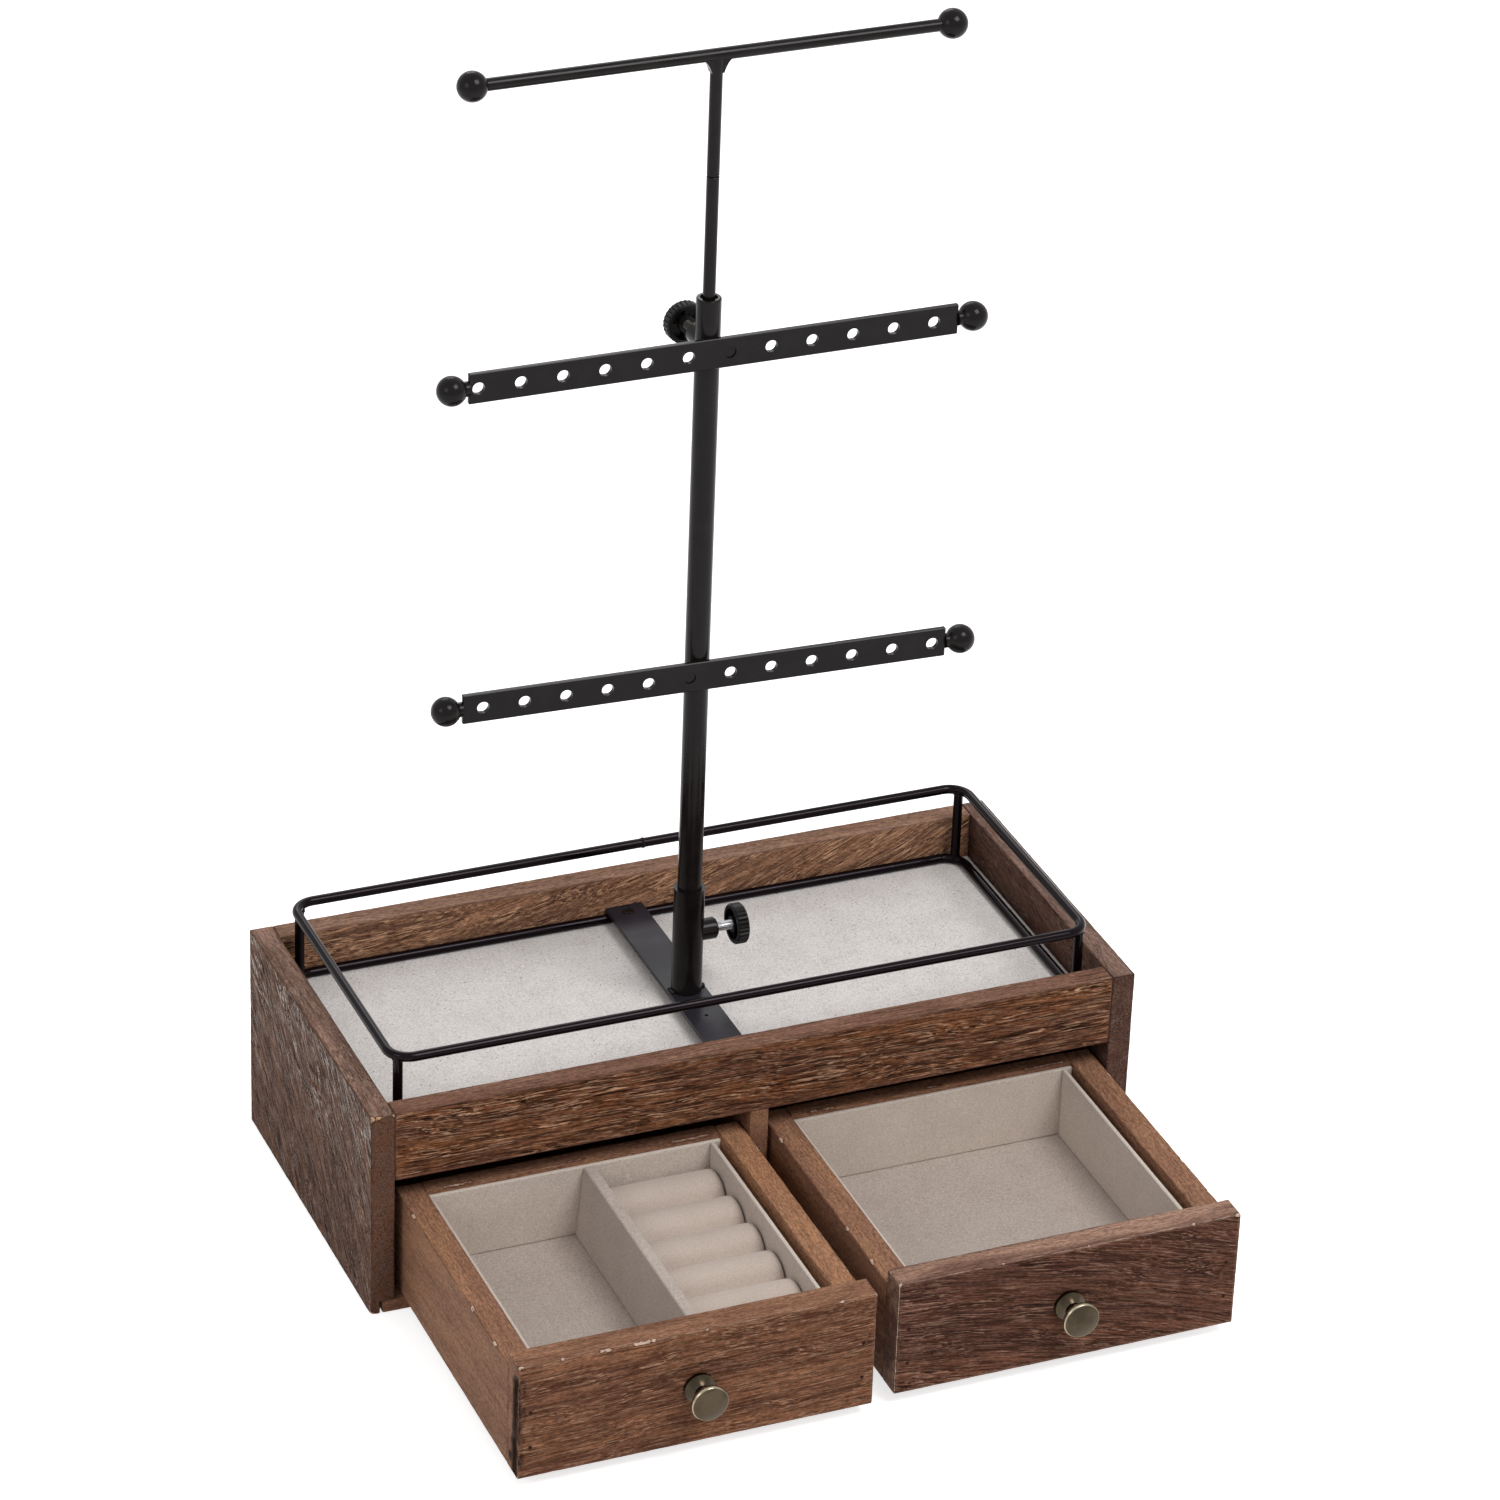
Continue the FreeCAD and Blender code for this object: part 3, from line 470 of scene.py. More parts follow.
combed_rail = wood("combed_rail", (34, 19, 12), (134, 86, 56), (104, 69, 55), (204, 162, 132), (124, 90, 74),
                   line_width=1.0, line_length=34, line_strength=1.0, fibre_strength=0.65)
combed_front = wood("combed_front", (56, 31, 20), (142, 97, 71), (106, 70, 54), (190, 150, 122),
                    (148, 108, 84), line_width=0.85, line_length=26, line_strength=0.85, fibre_strength=0.55,
                    wear_amount=0.5)
dark_front = wood("dark_front", (34, 18, 13), (112, 73, 56), (84, 54, 45), (172, 134, 114), (160, 126, 108),
                  line_length=34, wear_amount=0.56)
# Each panel's top colour is lighter than its sawn edges: painted light on its upward face.
panel_finishes = {side: wood("weathered_panel_" + side, (38, 24, 18), (129, 93, 74), (99, 73, 62),
                             (210, 200, 192), sawn, (186, 150, 118), top, line_width=1.1, line_length=18,
                             waviness=2.0, line_strength=1.0, fibre_strength=0.25, plain_share=0.5)
                  for side, sawn, top in (("left", (102, 68, 49), (150, 118, 102)),
                                          ("right", (84, 56, 45), (132, 104, 92)))}
sanded_board = wood("sanded_board", (88, 57, 42), (146, 106, 80), (128, 92, 74), (178, 142, 116),
                    (150, 110, 84), line_width=1.1, line_length=22, line_strength=0.55, fibre_strength=0.3,
                    plain_share=0.8, bump=0.4)
golden_board = wood("golden_board", (56, 33, 22), (166, 121, 93), (140, 104, 84), (212, 168, 132),
                    (146, 114, 97), line_width=1.1, line_length=26, waviness=2.0, fibre_strength=0.8)
honey_board = wood("honey_board", (84, 54, 36), (166, 122, 91), (142, 104, 81), (192, 150, 116),
                   (162, 118, 88), line_width=1.0, line_length=22, line_strength=0.5, fibre_strength=0.3,
                   plain_share=0.8, bump=0.4)
thin_ply = wood("thin_ply", (110, 78, 58), (158, 120, 94), (138, 102, 82), (196, 162, 136), (150, 114, 90),
                line_strength=0.5, bump=0.2)
print("wood finishes ready")

# %% [markdown]
# A board is sawn, so it is a box, but no real board has perfect corners. Here a box is divided into a
# lattice that is fine beside its edges. Each point near an edge is pulled in to a small radius, and the
# radius changes along the edge with seeded noise. A chip is a place where the radius grows. Notched boards
# are two boxes that overlap: the lattice keeps every cell that lies in either of them.

# %% Lattice boards
edge_places = np.array([0, 0.14, 0.3, 0.5, 0.75, 1.1, 1.6]) * mm
fine_gap, wanted_gap = 0.1 * mm, 0.15 * mm
on_plane = 1e-6
chip_planes = 6
chip_plane_step = 0.4 * mm
wear_reach = 1.6 * mm
seam_fade = 1.4 * mm


def stations(breaks, step, wanted=()):
    """Lattice planes along one axis: close together beside each break, then one for each step."""
    low, high = min(breaks), max(breaks)
    fine = sorted(place + side * offset for place in breaks for offset in edge_places for side in (-1, 1))
    even = np.linspace(low, high, max(2, int(round((high - low) / step)) + 1))
    chosen = sorted(set(breaks))
    for places, gap in ((fine, fine_gap), (even, max(fine_gap, 0.45 * step)), (wanted, wanted_gap)):
        for place in places:
            if low < place < high and min(abs(place - other) for other in chosen) > gap:
                chosen.append(place)
    return np.array(sorted(chosen))


def lattice(boxes, steps, wanted=((), (), ())):
    """Outer surface of overlapping boxes as points and outward quads, with extra planes where wanted."""
    axes = [stations(sorted({round(float(box[side][axis]), 7) for box in boxes for side in (0, 1)}),
                     steps[axis], wanted[axis]) for axis in range(3)]
    middles = np.meshgrid(*[(places[1:] + places[:-1]) / 2 for places in axes], indexing="ij")
    filled = np.zeros(middles[0].shape, bool)
    for low, high in boxes:
        inside = [(middles[axis] > low[axis]) & (middles[axis] < high[axis]) for axis in range(3)]
        filled |= inside[0] & inside[1] & inside[2]
    solid = np.pad(filled, 1)
    counts = [len(places) for places in axes]
    quads = []
    for axis in range(3):
        side_a, side_b = (axis + 1) % 3, (axis + 2) % 3
        for direction in (0, 1):
            neighbour = np.roll(solid, 1 - 2 * direction, axis)[1:-1, 1:-1, 1:-1]
            cells = np.argwhere(filled & ~neighbour)
            cells[:, axis] += direction
            corners = []
            for add_a, add_b in ((0, 0), (1, 0), (1, 1), (0, 1)):
                corner = cells.copy()
                corner[:, side_a] += add_a
                corner[:, side_b] += add_b
                corners.append(np.ravel_multi_index(corner.T, counts))
            quads.append(np.stack(corners if direction else corners[::-1], 1))
    quads = np.concatenate(quads)
    used, quads = np.unique(quads, return_inverse=True)
    points = np.stack([places[index] for places, index in zip(axes, np.unravel_index(used, counts))], 1)
    return points, quads.reshape(-1, 4)


def pulled_in(points, boxes, radius):
    """Nearest point of the boxes shrunk by radius, and the distance to it."""
    best = np.full(len(points), np.inf)
    nearest = points.copy()
    for low, high in boxes:
        spot = np.clip(points, np.array(low) + radius[:, None], np.array(high) - radius[:, None])
        gap = np.linalg.norm(points - spot, axis=1)
        closer = gap < best
        best[closer] = gap[closer]
        nearest[closer] = spot[closer]
    return nearest, best


def thinnest(boxes):
    """Least thickness of some boxes."""
    return min(high[axis] - low[axis] for low, high in boxes for axis in range(3))


def eased(points, boxes, radius):
    """Points moved onto edges rounded to a radius, and the middles that they are rounded about."""
    near, gap = pulled_in(points, boxes, radius)
    share = (radius / np.maximum(gap, 1e-9))[:, None]
    return np.where((gap > radius)[:, None], near + (points - near) * share, points), near


def ripple(points, size, seed):
    """Seeded noise from -1 to 1 at each point, with waves about one size long."""
    shift = Vector((seed * 3.71, seed * 1.37, seed * 2.93))
    return np.array([noise.noise(Vector(point) / size + shift) for point in points])


def mesh_object(name, points, quads, values=None, vectors=None):
    """Smooth mesh with stored values for its material."""
    mesh = bpy.data.meshes.new(name)
    mesh.from_pydata(points.tolist(), [], quads.tolist())
    mesh.shade_smooth()
    for label, value in (values or {}).items():
        mesh.attributes.new(label, "FLOAT", "POINT").data.foreach_set("value", value.astype(np.float32))
    for label, value in (vectors or {}).items():
        stored = mesh.attributes.new(label, "FLOAT_VECTOR", "POINT")
        stored.data.foreach_set("vector", value.astype(np.float32).ravel())
    return add_object(name, mesh)


def on_side(points, boxes, side):
    """1 on one flat side of some boxes together, fading to 0 at the edges of that side."""
    axis = "xyz".index(side[1])
    low, high = np.min([box[0] for box in boxes], axis=0), np.max([box[1] for box in boxes], axis=0)
    flat = np.abs(points[:, axis] - (high if side[0] == "+" else low)[axis]) < on_plane
    inset = np.delete(np.minimum(points - low, high - points), axis, 1).min(1)
    return np.where(flat, np.clip(inset / seam_fade, 0, 1), 0.0)


def stain_value(points, start, end, reach):
    """1 on a line between two points, fading to 0 at some millimetres from it."""
    start, end = np.array(start), np.array(end)
    share = np.clip((points - start) @ (end - start) / max((end - start) @ (end - start), 1e-12), 0, 1)
    away = np.linalg.norm(points - start - share[:, None] * (end - start), axis=1)
    return np.clip(1 - away / (reach * mm), 0, 1)


def board_mesh(name, boxes, grain_axis, steps, ease=0.6, brushed_sides=(), chips=(), seed=1, grain_turn=0.0,
               fan=0.0, weather=None, stains=(), scuffs=()):
    """Board with uneven eased edges and the values that its wood finish reads."""
    along_chips = np.arange(-chip_planes, chip_planes + 1) * chip_plane_step
    wanted = [[place[axis] + offset for place, _, _ in chips for offset in along_chips] for axis in range(3)]
    points, quads = lattice(boxes, [step * mm for step in steps], wanted)
    uneven = ripple(points, 9 * mm, seed) * 0.35 + ripple(points, 2.2 * mm, seed + 5) * 0.25
    radius = ease * mm * (1 + uneven)
    chip = np.zeros(len(points))
    for place, reach, depth in chips:
        away = np.linalg.norm(points - np.array(place), axis=1) / (reach * mm)
        rough = 1 + 0.7 * ripple(points, 0.9 * mm, seed + 9)
        bite = np.clip(1 - away * away, 0, 1) * rough
        radius = radius + depth * mm * bite
        chip = np.maximum(chip, np.clip(bite * 1.6, 0, 1))
    most = thinnest(boxes) * 0.45
    rounded, _ = eased(points, boxes, np.clip(radius, 0.1 * mm, most))
    reach = np.full(len(points), min(wear_reach, most))
    edge = np.clip((pulled_in(points, boxes, reach)[1] / reach - 1) / 0.41, 0, 1)
    chip = chip * np.clip(edge * 4, 0, 1)
    sides = [on_side(points, boxes, side) for side in brushed_sides]
    brushed = np.max([np.zeros(len(points))] + sides, axis=0)
    order = {"x": (0, 1, 2), "y": (1, 0, 2), "z": (2, 0, 1)}[grain_axis]
    place = points[:, order]
    through = points[:, np.argmin(np.ptp(points, axis=0))]
    broad = np.minimum(through - through.min(), through.max() - through) < on_plane
    turn = math.radians(grain_turn) * broad
    along = place[:, 0] * np.cos(turn) + place[:, 2] * np.sin(turn)
    across = place[:, 2] * np.cos(turn) - place[:, 0] * np.sin(turn) + fan * along * along * broad
    place = np.stack([along, place[:, 1], across], 1) + np.array([seed * 0.173, seed * 0.057, seed * 0.091])
    # Share of painted top light: the upward faces that are not brushed.
    upward = on_side(points, boxes, "+z") * (1 - brushed)
    for scuff in scuffs:
        chip = np.maximum(chip, stain_value(points, *scuff))
    values = {"edge": edge, "chip": chip, "brushed": brushed, "upward": upward}
    if weather:
        values["weather"] = np.clip(weather(points), 0, 1)
    if stains:
        values["stain"] = np.max([stain_value(points, *stain) for stain in stains], axis=0)
    return mesh_object(name, rounded, quads, values, {"grain_place": place})


# %% [markdown]
# Wire brushing cuts real grooves, which catch light and give the board's corner a ragged outline. A
# Geometry Nodes tree does this by rule: noise drawn out along the grain pushes the brushed faces in, and
# the depth is stored as a value, so that the stain can lie darkest in the deepest grooves.

# %% Brushed relief as Geometry Nodes
relief, given, results = new_group("GeometryNodeTree", "brushed_relief", {
    "Geometry": "Geometry", "Depth": 0.0003, "Line Width": 0.0014, "Line Length": 0.03, "Seed": 0.0,
    "Finish": "Material"}, ("Geometry",))


def named(tree, name, kind="FLOAT"):
    """Value stored on the mesh, read inside Geometry Nodes."""
    made = tree.nodes.new("GeometryNodeInputNamedAttribute")
    made.data_type = kind
    fill(made.inputs, Name=name)
    return made.outputs["Attribute"]


def give_back(shape, smooth=True):
    """End the newest Geometry Nodes tree: real geometry in its finish."""
    shape = put("GeometryNodeRealizeInstances", Geometry=shape).outputs[0]
    if smooth:
        shape = put("GeometryNodeSetShadeSmooth", Geometry=shape).outputs[0]
    fill(results, Geometry=put("GeometryNodeSetMaterial", Geometry=shape,
                               Material=given["Finish"]).outputs[0])


place = drawn_out(named(relief, "grain_place", "FLOAT_VECTOR"), given["Line Length"], given["Line Width"])
cut_noise = put("ShaderNodeTexNoise", {"noise_dimensions": "4D"}, Vector=place, Scale=1.0, Detail=2.0,
                W=given["Seed"]).outputs[0]
cut = times(ramp(cut_noise, 0.56, 0.40), named(relief, "brushed"))
stored = put("GeometryNodeStoreNamedAttribute", {"data_type": "FLOAT", "domain": "POINT"},
             Geometry=given["Geometry"], Name="groove", Value=cut)
push = times(times(cut, given["Depth"]), -1.0)
normal = relief.nodes.new("GeometryNodeInputNormal").outputs[0]
moved = put("GeometryNodeSetPosition", Geometry=stored.outputs[0], Offset=scaled(normal, push))
give_back(moved.outputs[0], smooth=False)


def through_nodes(piece, tree, **inputs):
    """Run a piece through a Geometry Nodes tree and keep the result as a plain mesh."""
    modifier = piece.modifiers.new(tree.name, "NODES")
    modifier.node_group = tree
    sockets = {item.name: item.identifier for item in tree.interface.items_tree if item.in_out == "INPUT"}
    for name, value in inputs.items():
        modifier[sockets[name.replace("_", " ")]] = value
    piece.update_tag()
    bpy.context.view_layer.update()
    evaluated = piece.evaluated_get(bpy.context.evaluated_depsgraph_get())
    result = bpy.data.meshes.new_from_object(evaluated)
    piece.modifiers.remove(modifier)
    old = piece.data
    piece.data = result
    bpy.data.meshes.remove(old)
    result.name = piece.name
    return piece


def seat(piece, body, slot, *stands_for):
    """Tell the frame which body carries a piece, its finish, and the nodes that it stands for."""
    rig.ride(piece, body)
    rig.slot(piece, slot)
    if stands_for:
        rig.replaces(piece, *stands_for)
    return piece


def body_of(node):
    return nodes[node]["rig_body"]


slots = {row["node"]: row["material_slot"] for row in frame["record"]["subparts"]}


def dress_board(node, finish, grain_axis, steps, boxes=None, depth=0.0, line_width=1.4, line_length=30,
                **shape):
    """Replace one sawn board of the model with its lattice board in a wood finish."""
    boxes = boxes or [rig.box(node)]
    piece = board_mesh(node + "_board", boxes, grain_axis, steps, **shape)
    through_nodes(piece, relief, Depth=depth * mm, Line_Width=line_width * mm, Line_Length=line_length * mm,
                  Seed=float(shape.get("seed", 1)), Finish=finish)
    print(piece.name, len(piece.data.polygons), "faces")
    return seat(piece, body_of(node), slots[node], node)


# %% [markdown]
# The case: two end panels with a rabbet for the bottom board, a brushed rail in front, the back panel, the
# bottom, the partition that is notched under the rail, and the deck that carries the tray's lining.

# %% Case boards
bottom_end_gap = 1.0 * mm
bottom_low, bottom_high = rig.box("bottom_board")
rail_low, rail_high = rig.box("front_rail")


def notched_panel(node, side):
    """Boxes of an end panel: its full height outside the rabbet, and its full thickness above it."""
    low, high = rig.box(node)
    outer = [low.copy(), high.copy()]
    if side < 0:
        outer[1].x = bottom_low.x - bottom_end_gap
    else:
        outer[0].x = bottom_high.x + bottom_end_gap
    inner = [low.copy(), high.copy()]
    inner[0].z = bottom_high.z
    return [inner, outer]


left_low, left_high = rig.box("left_end_panel")
panel_chips = [((left_low.x, left_low.y, left_high.z), 2.6, 0.9),
               ((left_low.x + 3 * mm, left_low.y, left_high.z), 1.8, 0.6),
               ((left_high.x, left_low.y, left_high.z), 1.5, 0.4),
               ((left_low.x, left_low.y, left_low.z), 2.5, 0.6)]


def paler_upwards(points):
    """Residue of a pale stain: most of it high on the board, in drifting patches."""
    height = (points[:, 2] - left_low.z) / (left_high.z - left_low.z)
    return 1.7 * height - 0.75 + 0.6 * ripple(points, 22 * mm, 77)


dress_board("left_end_panel", panel_finishes["left"], "y", (2.2, 1.1, 0.8),
            notched_panel("left_end_panel", -1), depth=0.30, line_width=1.3, line_length=18,
            brushed_sides=("-x",), chips=panel_chips, seed=1, grain_turn=52, fan=1.2, weather=paler_upwards)
dress_board("right_end_panel", panel_finishes["right"], "y", (2.2, 1.6, 1.1),
            notched_panel("right_end_panel", 1), depth=0.28, line_width=1.4, line_length=14,
            brushed_sides=("+x",), seed=2, grain_turn=8, fan=0.6, weather=paler_upwards)
dress_board("front_rail", combed_rail, "x", (2.2, 2.0, 0.42), depth=0.32, line_width=1.0, line_length=18,
            brushed_sides=("-y",), seed=3, grain_turn=-1.5)
dress_board("back_panel", golden_board, "x", (2.2, 2.2, 0.7), depth=0.14, line_width=1.3, line_length=44,
            brushed_sides=("-y", "+y"), seed=4, grain_turn=14, fan=-0.8)
dress_board("bottom_board", sanded_board, "x", (6, 6, 2.5), seed=5)
dress_board("tray_deck", sanded_board, "x", (8, 8, 2.5), seed=6)
part_low, part_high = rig.box("centre_partition")
under_rail = [part_low.copy(), Vector((part_high.x, part_high.y, rail_low.z))]
behind_rail = [Vector((part_low.x, rail_high.y, part_low.z)), part_high.copy()]
dress_board("centre_partition", sanded_board, "y", (2.0, 3, 2), [under_rail, behind_rail], seed=7)

# %% [markdown]
# The drawers are the same boards in two sizes. A loop dresses both, and their fronts differ in finish, in
# grain and in marks: the left one has two dark bands down its end near the front, and the right one is
# rubbed along its edges.

# %% Drawer boards
front_dark_bands = ((3.0, 0.0, None, 6.0), (8.3, 5.0, 7.0, 2.6))  # from the front, from and to a height, reach
band_below_top = 8 * mm
rub_end = 30 * mm


def drawer_chips(side):
    """Bruises on a drawer's most handled edges."""
    low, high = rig.box(side + "_drawer_front")
    if side == "left":
        places = [(0.228, 1.3, 0.5), (0.245, 1.7, 0.8), (0.322, 1.5, 0.5), (0.338, 2.0, 1.0),
                  (0.355, 1.8, 1.1), (0.372, 1.3, 0.6), (0.12, 1.1, 0.3), (0.52, 1.0, 0.3), (0.90, 1.2, 0.4),
                  (0.005, 1.6, 0.5)]
    else:
        places = [(0.0, 1.8, 0.6), (0.86, 1.1, 0.4), (0.99, 1.8, 0.7), (0.55, 0.9, 0.3), (0.3, 0.9, 0.3)]
    return [((low.x + share * (high.x - low.x), low.y, high.z), reach, depth)
            for share, reach, depth in places]


for side, seed in (("left", 11), ("right", 21)):
    name = side + "_drawer_"
    low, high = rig.box(name + "front")
    stains = [((low.x, low.y + inset * mm, low.z + start * mm),
               (low.x, low.y + inset * mm, low.z + end * mm if end else high.z - band_below_top), reach)
              for inset, start, end, reach in front_dark_bands]
    scuffs = [((low.x, low.y, low.z), (low.x, low.y, high.z), 0.9),
              ((low.x, high.y, high.z), (high.x - rub_end, high.y, high.z), 0.8)]
    own = {"left": dict(finish=combed_front, depth=0.18, line_width=1.0, line_length=20, grain_turn=1,
                        stains=stains),
           "right": dict(finish=dark_front, depth=0.26, line_width=1.1, line_length=24, grain_turn=-5,
                         fan=0.9, scuffs=scuffs)}
    dress_board(name + "front", grain_axis="x", steps=(2.0, 2.0, 0.5), brushed_sides=("-y",),
                chips=drawer_chips(side), seed=seed, **own[side])
    for number, board_side in enumerate(("left_side", "right_side")):
        low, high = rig.box(name + board_side)
        outer = low.x if board_side == "left_side" else high.x
        rub = [((outer, low.y + share * (high.y - low.y), high.z), 2.2, 0.35) for share in (0.12, 0.31, 0.83)]
        board_finish = honey_board if (side, board_side) == ("left", "right_side") else sanded_board
        dress_board(name + board_side, board_finish, "y", (1.8, 2.4, 1.6), chips=rub,
                    ease=1.2 if board_finish is honey_board else 0.7, seed=seed + 1 + number)
    low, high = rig.box(name + "back")
    scrapes = [((low.x + start * mm, low.y + inset * mm, high.z),
                (low.x + end * mm, low.y + inset * mm, high.z), 1.3)
               for start, end, inset in ((8, 19, 0.4), (60, 66, 1.2), (104, 122, 0.8))]
    dress_board(name + "back", sanded_board, "x", (2, 0.8, 2), ease=0.4, seed=seed + 4, scuffs=scrapes)
    dress_board(name + "floor", thin_ply, "x", (6, 6, 1.5), ease=0.3, seed=seed + 5)


# %% [markdown]
# Every lining is thin board covered in cloth. The tray's cloth is a pale linen with dark and light slubs,
# and the drawers' is a plain brushed flannel, in a lighter copy on their walls as painted light. The two
# share a node group that gives a fine nap, slow blotches and flecks. The finish reads object coordinates,
# since each covered board is nearly flat.

# %% Cloth materials
nap, given, results = new_group("ShaderNodeTree", "cloth_nap", {
    "Vector": "Vector", "Thread": 0.0004, "Fleck Size": 0.0012, "Fleck Amount": 0.3},
    ("Height", "Blotch", "Dark Flecks", "Pale Flecks"))
for label, shift in (("Dark_Flecks", 11.0), ("Pale_Flecks", 23.0)):
    single = noise_of_size(given["Vector"], given["Fleck Size"], 1.0, 0.5, shift)
    patchy = maths("MULTIPLY_ADD", noise_of_size(given["Vector"], 0.011, shift=shift + 3), 0.25, single)
    fill(results, **{label: times(ramp(patchy, 0.80, 0.90), given["Fleck Amount"])})
fill(results, Height=noise_of_size(given["Vector"], given["Thread"], 2.0, 0.7),
     Blotch=noise_of_size(given["Vector"], 0.018, 3.0, 0.6, 5.0))
husk_brown = display(70, 54, 48)


def cloth(name, colour, dark, pale, thread, fleck_size=1.3, fleck_amount=0.5, husks=0.0):
    """Matt cloth with a nap, slow blotches, flecks and, in coarse linen, bits of brown husk."""
    colour, dark, pale = display(*colour), display(*dark), display(*pale)
    material, tree, shader = new_material(name)
    place = object_place(tree)
    layers = put("ShaderNodeGroup", {"node_tree": nap}, Vector=place, Thread=thread * mm,
                 Fleck_Size=fleck_size * mm, Fleck_Amount=fleck_amount).outputs
    mixed = blend(ramp(layers["Blotch"], 0.35, 0.70, 0.0, 0.16), colour, dark)
    mixed = blend(ramp(layers["Height"], 0.46, 0.36, 0.0, 0.40), mixed, dark)
    mixed = blend(ramp(layers["Height"], 0.52, 0.66, 0.0, 0.55), mixed, pale)
    mixed = blend(layers["Dark Flecks"], mixed, dark)
    mixed = blend(layers["Pale Flecks"], mixed, pale)
    if husks:
        coarse = speckle(stretched(place, 0.0010, 0.0013), 1.0)
        mixed = blend(ramp(coarse, 0.72, 0.76, 0.0, husks), mixed, husk_brown)
    fill(shader.inputs, Base_Color=mixed, Roughness=0.92, Specular_IOR_Level=0.2, Sheen_Weight=0.25,
         Sheen_Roughness=0.5, Normal=bumped(0.35, 0.0002, layers["Height"]))
    return material


tray_linen = cloth("tray_linen", (212, 207, 204), (150, 138, 130), (232, 229, 226), thread=0.7,
                   fleck_size=0.9, fleck_amount=0.85, husks=0.8)
flannel = cloth("flannel", (178, 165, 156), (140, 125, 114), (206, 195, 187), thread=0.7)
# The walls take a lighter copy of the floor's flannel: painted light on walls that face the front.
wall_flannel = cloth("wall_flannel", (200, 187, 176), (160, 145, 133), (222, 212, 203), thread=0.6)
roll_flannel = cloth("roll_flannel", (189, 174, 163), (162, 146, 135), (206, 193, 183), thread=0.5,
                     fleck_amount=0.2)
print("cloth finishes ready")

# %% [markdown]
# The covered boards use the same lattice as the wood, with a larger and even radius where the cloth turns
# over the edge, and a slight waviness where it was glued down.

# %% Covered boards
wall_thk = 1.9 * mm
wall_slack = 3.0 * mm


def covered_mesh(boxes, steps, ease, seed, puff):
    """Cloth-covered board: soft edges and a little unevenness on its flat sides."""
    points, quads = lattice(boxes, [step * mm for step in steps])
    radius = np.full(len(points), min(ease * mm, thinnest(boxes) * 0.48))
    rounded, near = eased(points, boxes, radius)
    inward = (near - rounded) / radius[:, None]
    dent = (0.5 + 0.5 * ripple(points, 14 * mm, seed)) * puff * mm
    return rounded + inward * dent[:, None], quads


def dress_cover(node, finish, parts, steps=(2.5, 2.5, 2.5), ease=0.7, seed=1, reshape=None, puff=0.12):
    """Replace a lining node by one mesh of its covered boards."""
    meshes = [covered_mesh([part], steps, ease, seed + index, puff) for index, part in enumerate(parts)]
    starts = np.cumsum([0] + [len(points) for points, _ in meshes[:-1]])
    points = np.concatenate([points for points, _ in meshes])
    quads = np.concatenate([quads + start for (_, quads), start in zip(meshes, starts)])
    piece = mesh_object(node + "_cover", reshape(points) if reshape else points, quads)
    piece.data.materials.append(finish)
    print(piece.name, len(piece.data.polygons), "faces")
    return seat(piece, body_of(node), slots[node], node)


dress_cover("tray_lining", tray_linen, [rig.box("tray_lining")], (4, 4, 0.5), ease=0.45, seed=31, puff=0.05)
for side in ("left", "right"):
    name = side + "_drawer_"
    low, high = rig.box(name + "lining_walls")
    mid_low, mid_high = low.y + wall_thk, high.y - wall_thk
    left_wall = (Vector((low.x, mid_low, low.z)), Vector((low.x + wall_thk, mid_high, high.z)))
    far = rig.box(name + "right_side")[0].x - wall_slack
    right_wall = (Vector((far - wall_thk, mid_low, low.z)), Vector((far, mid_high, high.z)))
    front_wall = (low, Vector((high.x, mid_low, high.z)))
    back_wall = (Vector((low.x, mid_high, low.z)), high)
    dress_cover(name + "lining_walls", wall_flannel, [left_wall, right_wall, front_wall, back_wall], seed=41)
    dress_cover(name + "lining_floor", flannel, [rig.box(name + "lining_floor")], ease=0.9, seed=51, puff=0.08)

# %% [markdown]
# The divider leans a little. Its covered board is made upright and then sheared by the lean that the
# model's own solid has: the difference between the solid's width and the board's thickness.

# %% Divider
divider_thk = 5.0 * mm
low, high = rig.box("left_drawer_divider")
divider_lean = (high.x - low.x) - divider_thk


def lean(points):
    """Shear with the foot to the left and the top where it was."""
    moved = points.copy()
    moved[:, 0] -= divider_lean * (high.z - points[:, 2]) / (high.z - low.z)
    return moved


dress_cover("left_drawer_divider", flannel, [(Vector((high.x - divider_thk, low.y, low.z)), high)],
            ease=0.9, seed=61, reshape=lean)

# %% [markdown]
# The ring rolls are foam bolsters in one cloth cover, stitched down between each pair. The cover starts as
# a slightly slack skin over the rolls. A short cloth simulation with air pressure then rounds it: the
# creases and the foot are pinned, gravity is off, and no point may move far. One subdivision makes the
# folds smooth.

# %% Ring rolls, simulated
roll_pitch = 20.6 * mm
roll_steps = 9
skin_slack = 0.5 * mm
most_move = 1.0 * mm
pad_low, pad_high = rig.box("left_drawer_ring_rolls")
crease_height = 9.0 * mm
depth_steps = 8
skin_columns = 24
skin_inset = 0.35 * mm
end_droop = 0.7 * mm
cloth_frames = 20
air_pressure = 4.0


def roll_outline():
    """Points along the drawer over all the rolls, from the back to the front, and which are creases."""
    count = int((pad_high.y - pad_low.y) / roll_pitch) + 1
    seams = [pad_high.y - index * roll_pitch for index in range(count)] + [pad_low.y]
    base = pad_high.z - crease_height
    line, pinned = [], []
    for start, end in zip(seams, seams[1:]):
        span = (start - end) / roll_pitch
        steps = max(3, round(roll_steps * span))
        for step in range(steps):
            share = step / steps
            rise = span * crease_height * math.sqrt(1 - (2 * share - 1) ** 2)
            line.append((start + (end - start) * share, base + rise - skin_slack))
            pinned.append(step == 0)
    return line + [(seams[-1], base - skin_slack)], pinned + [True]


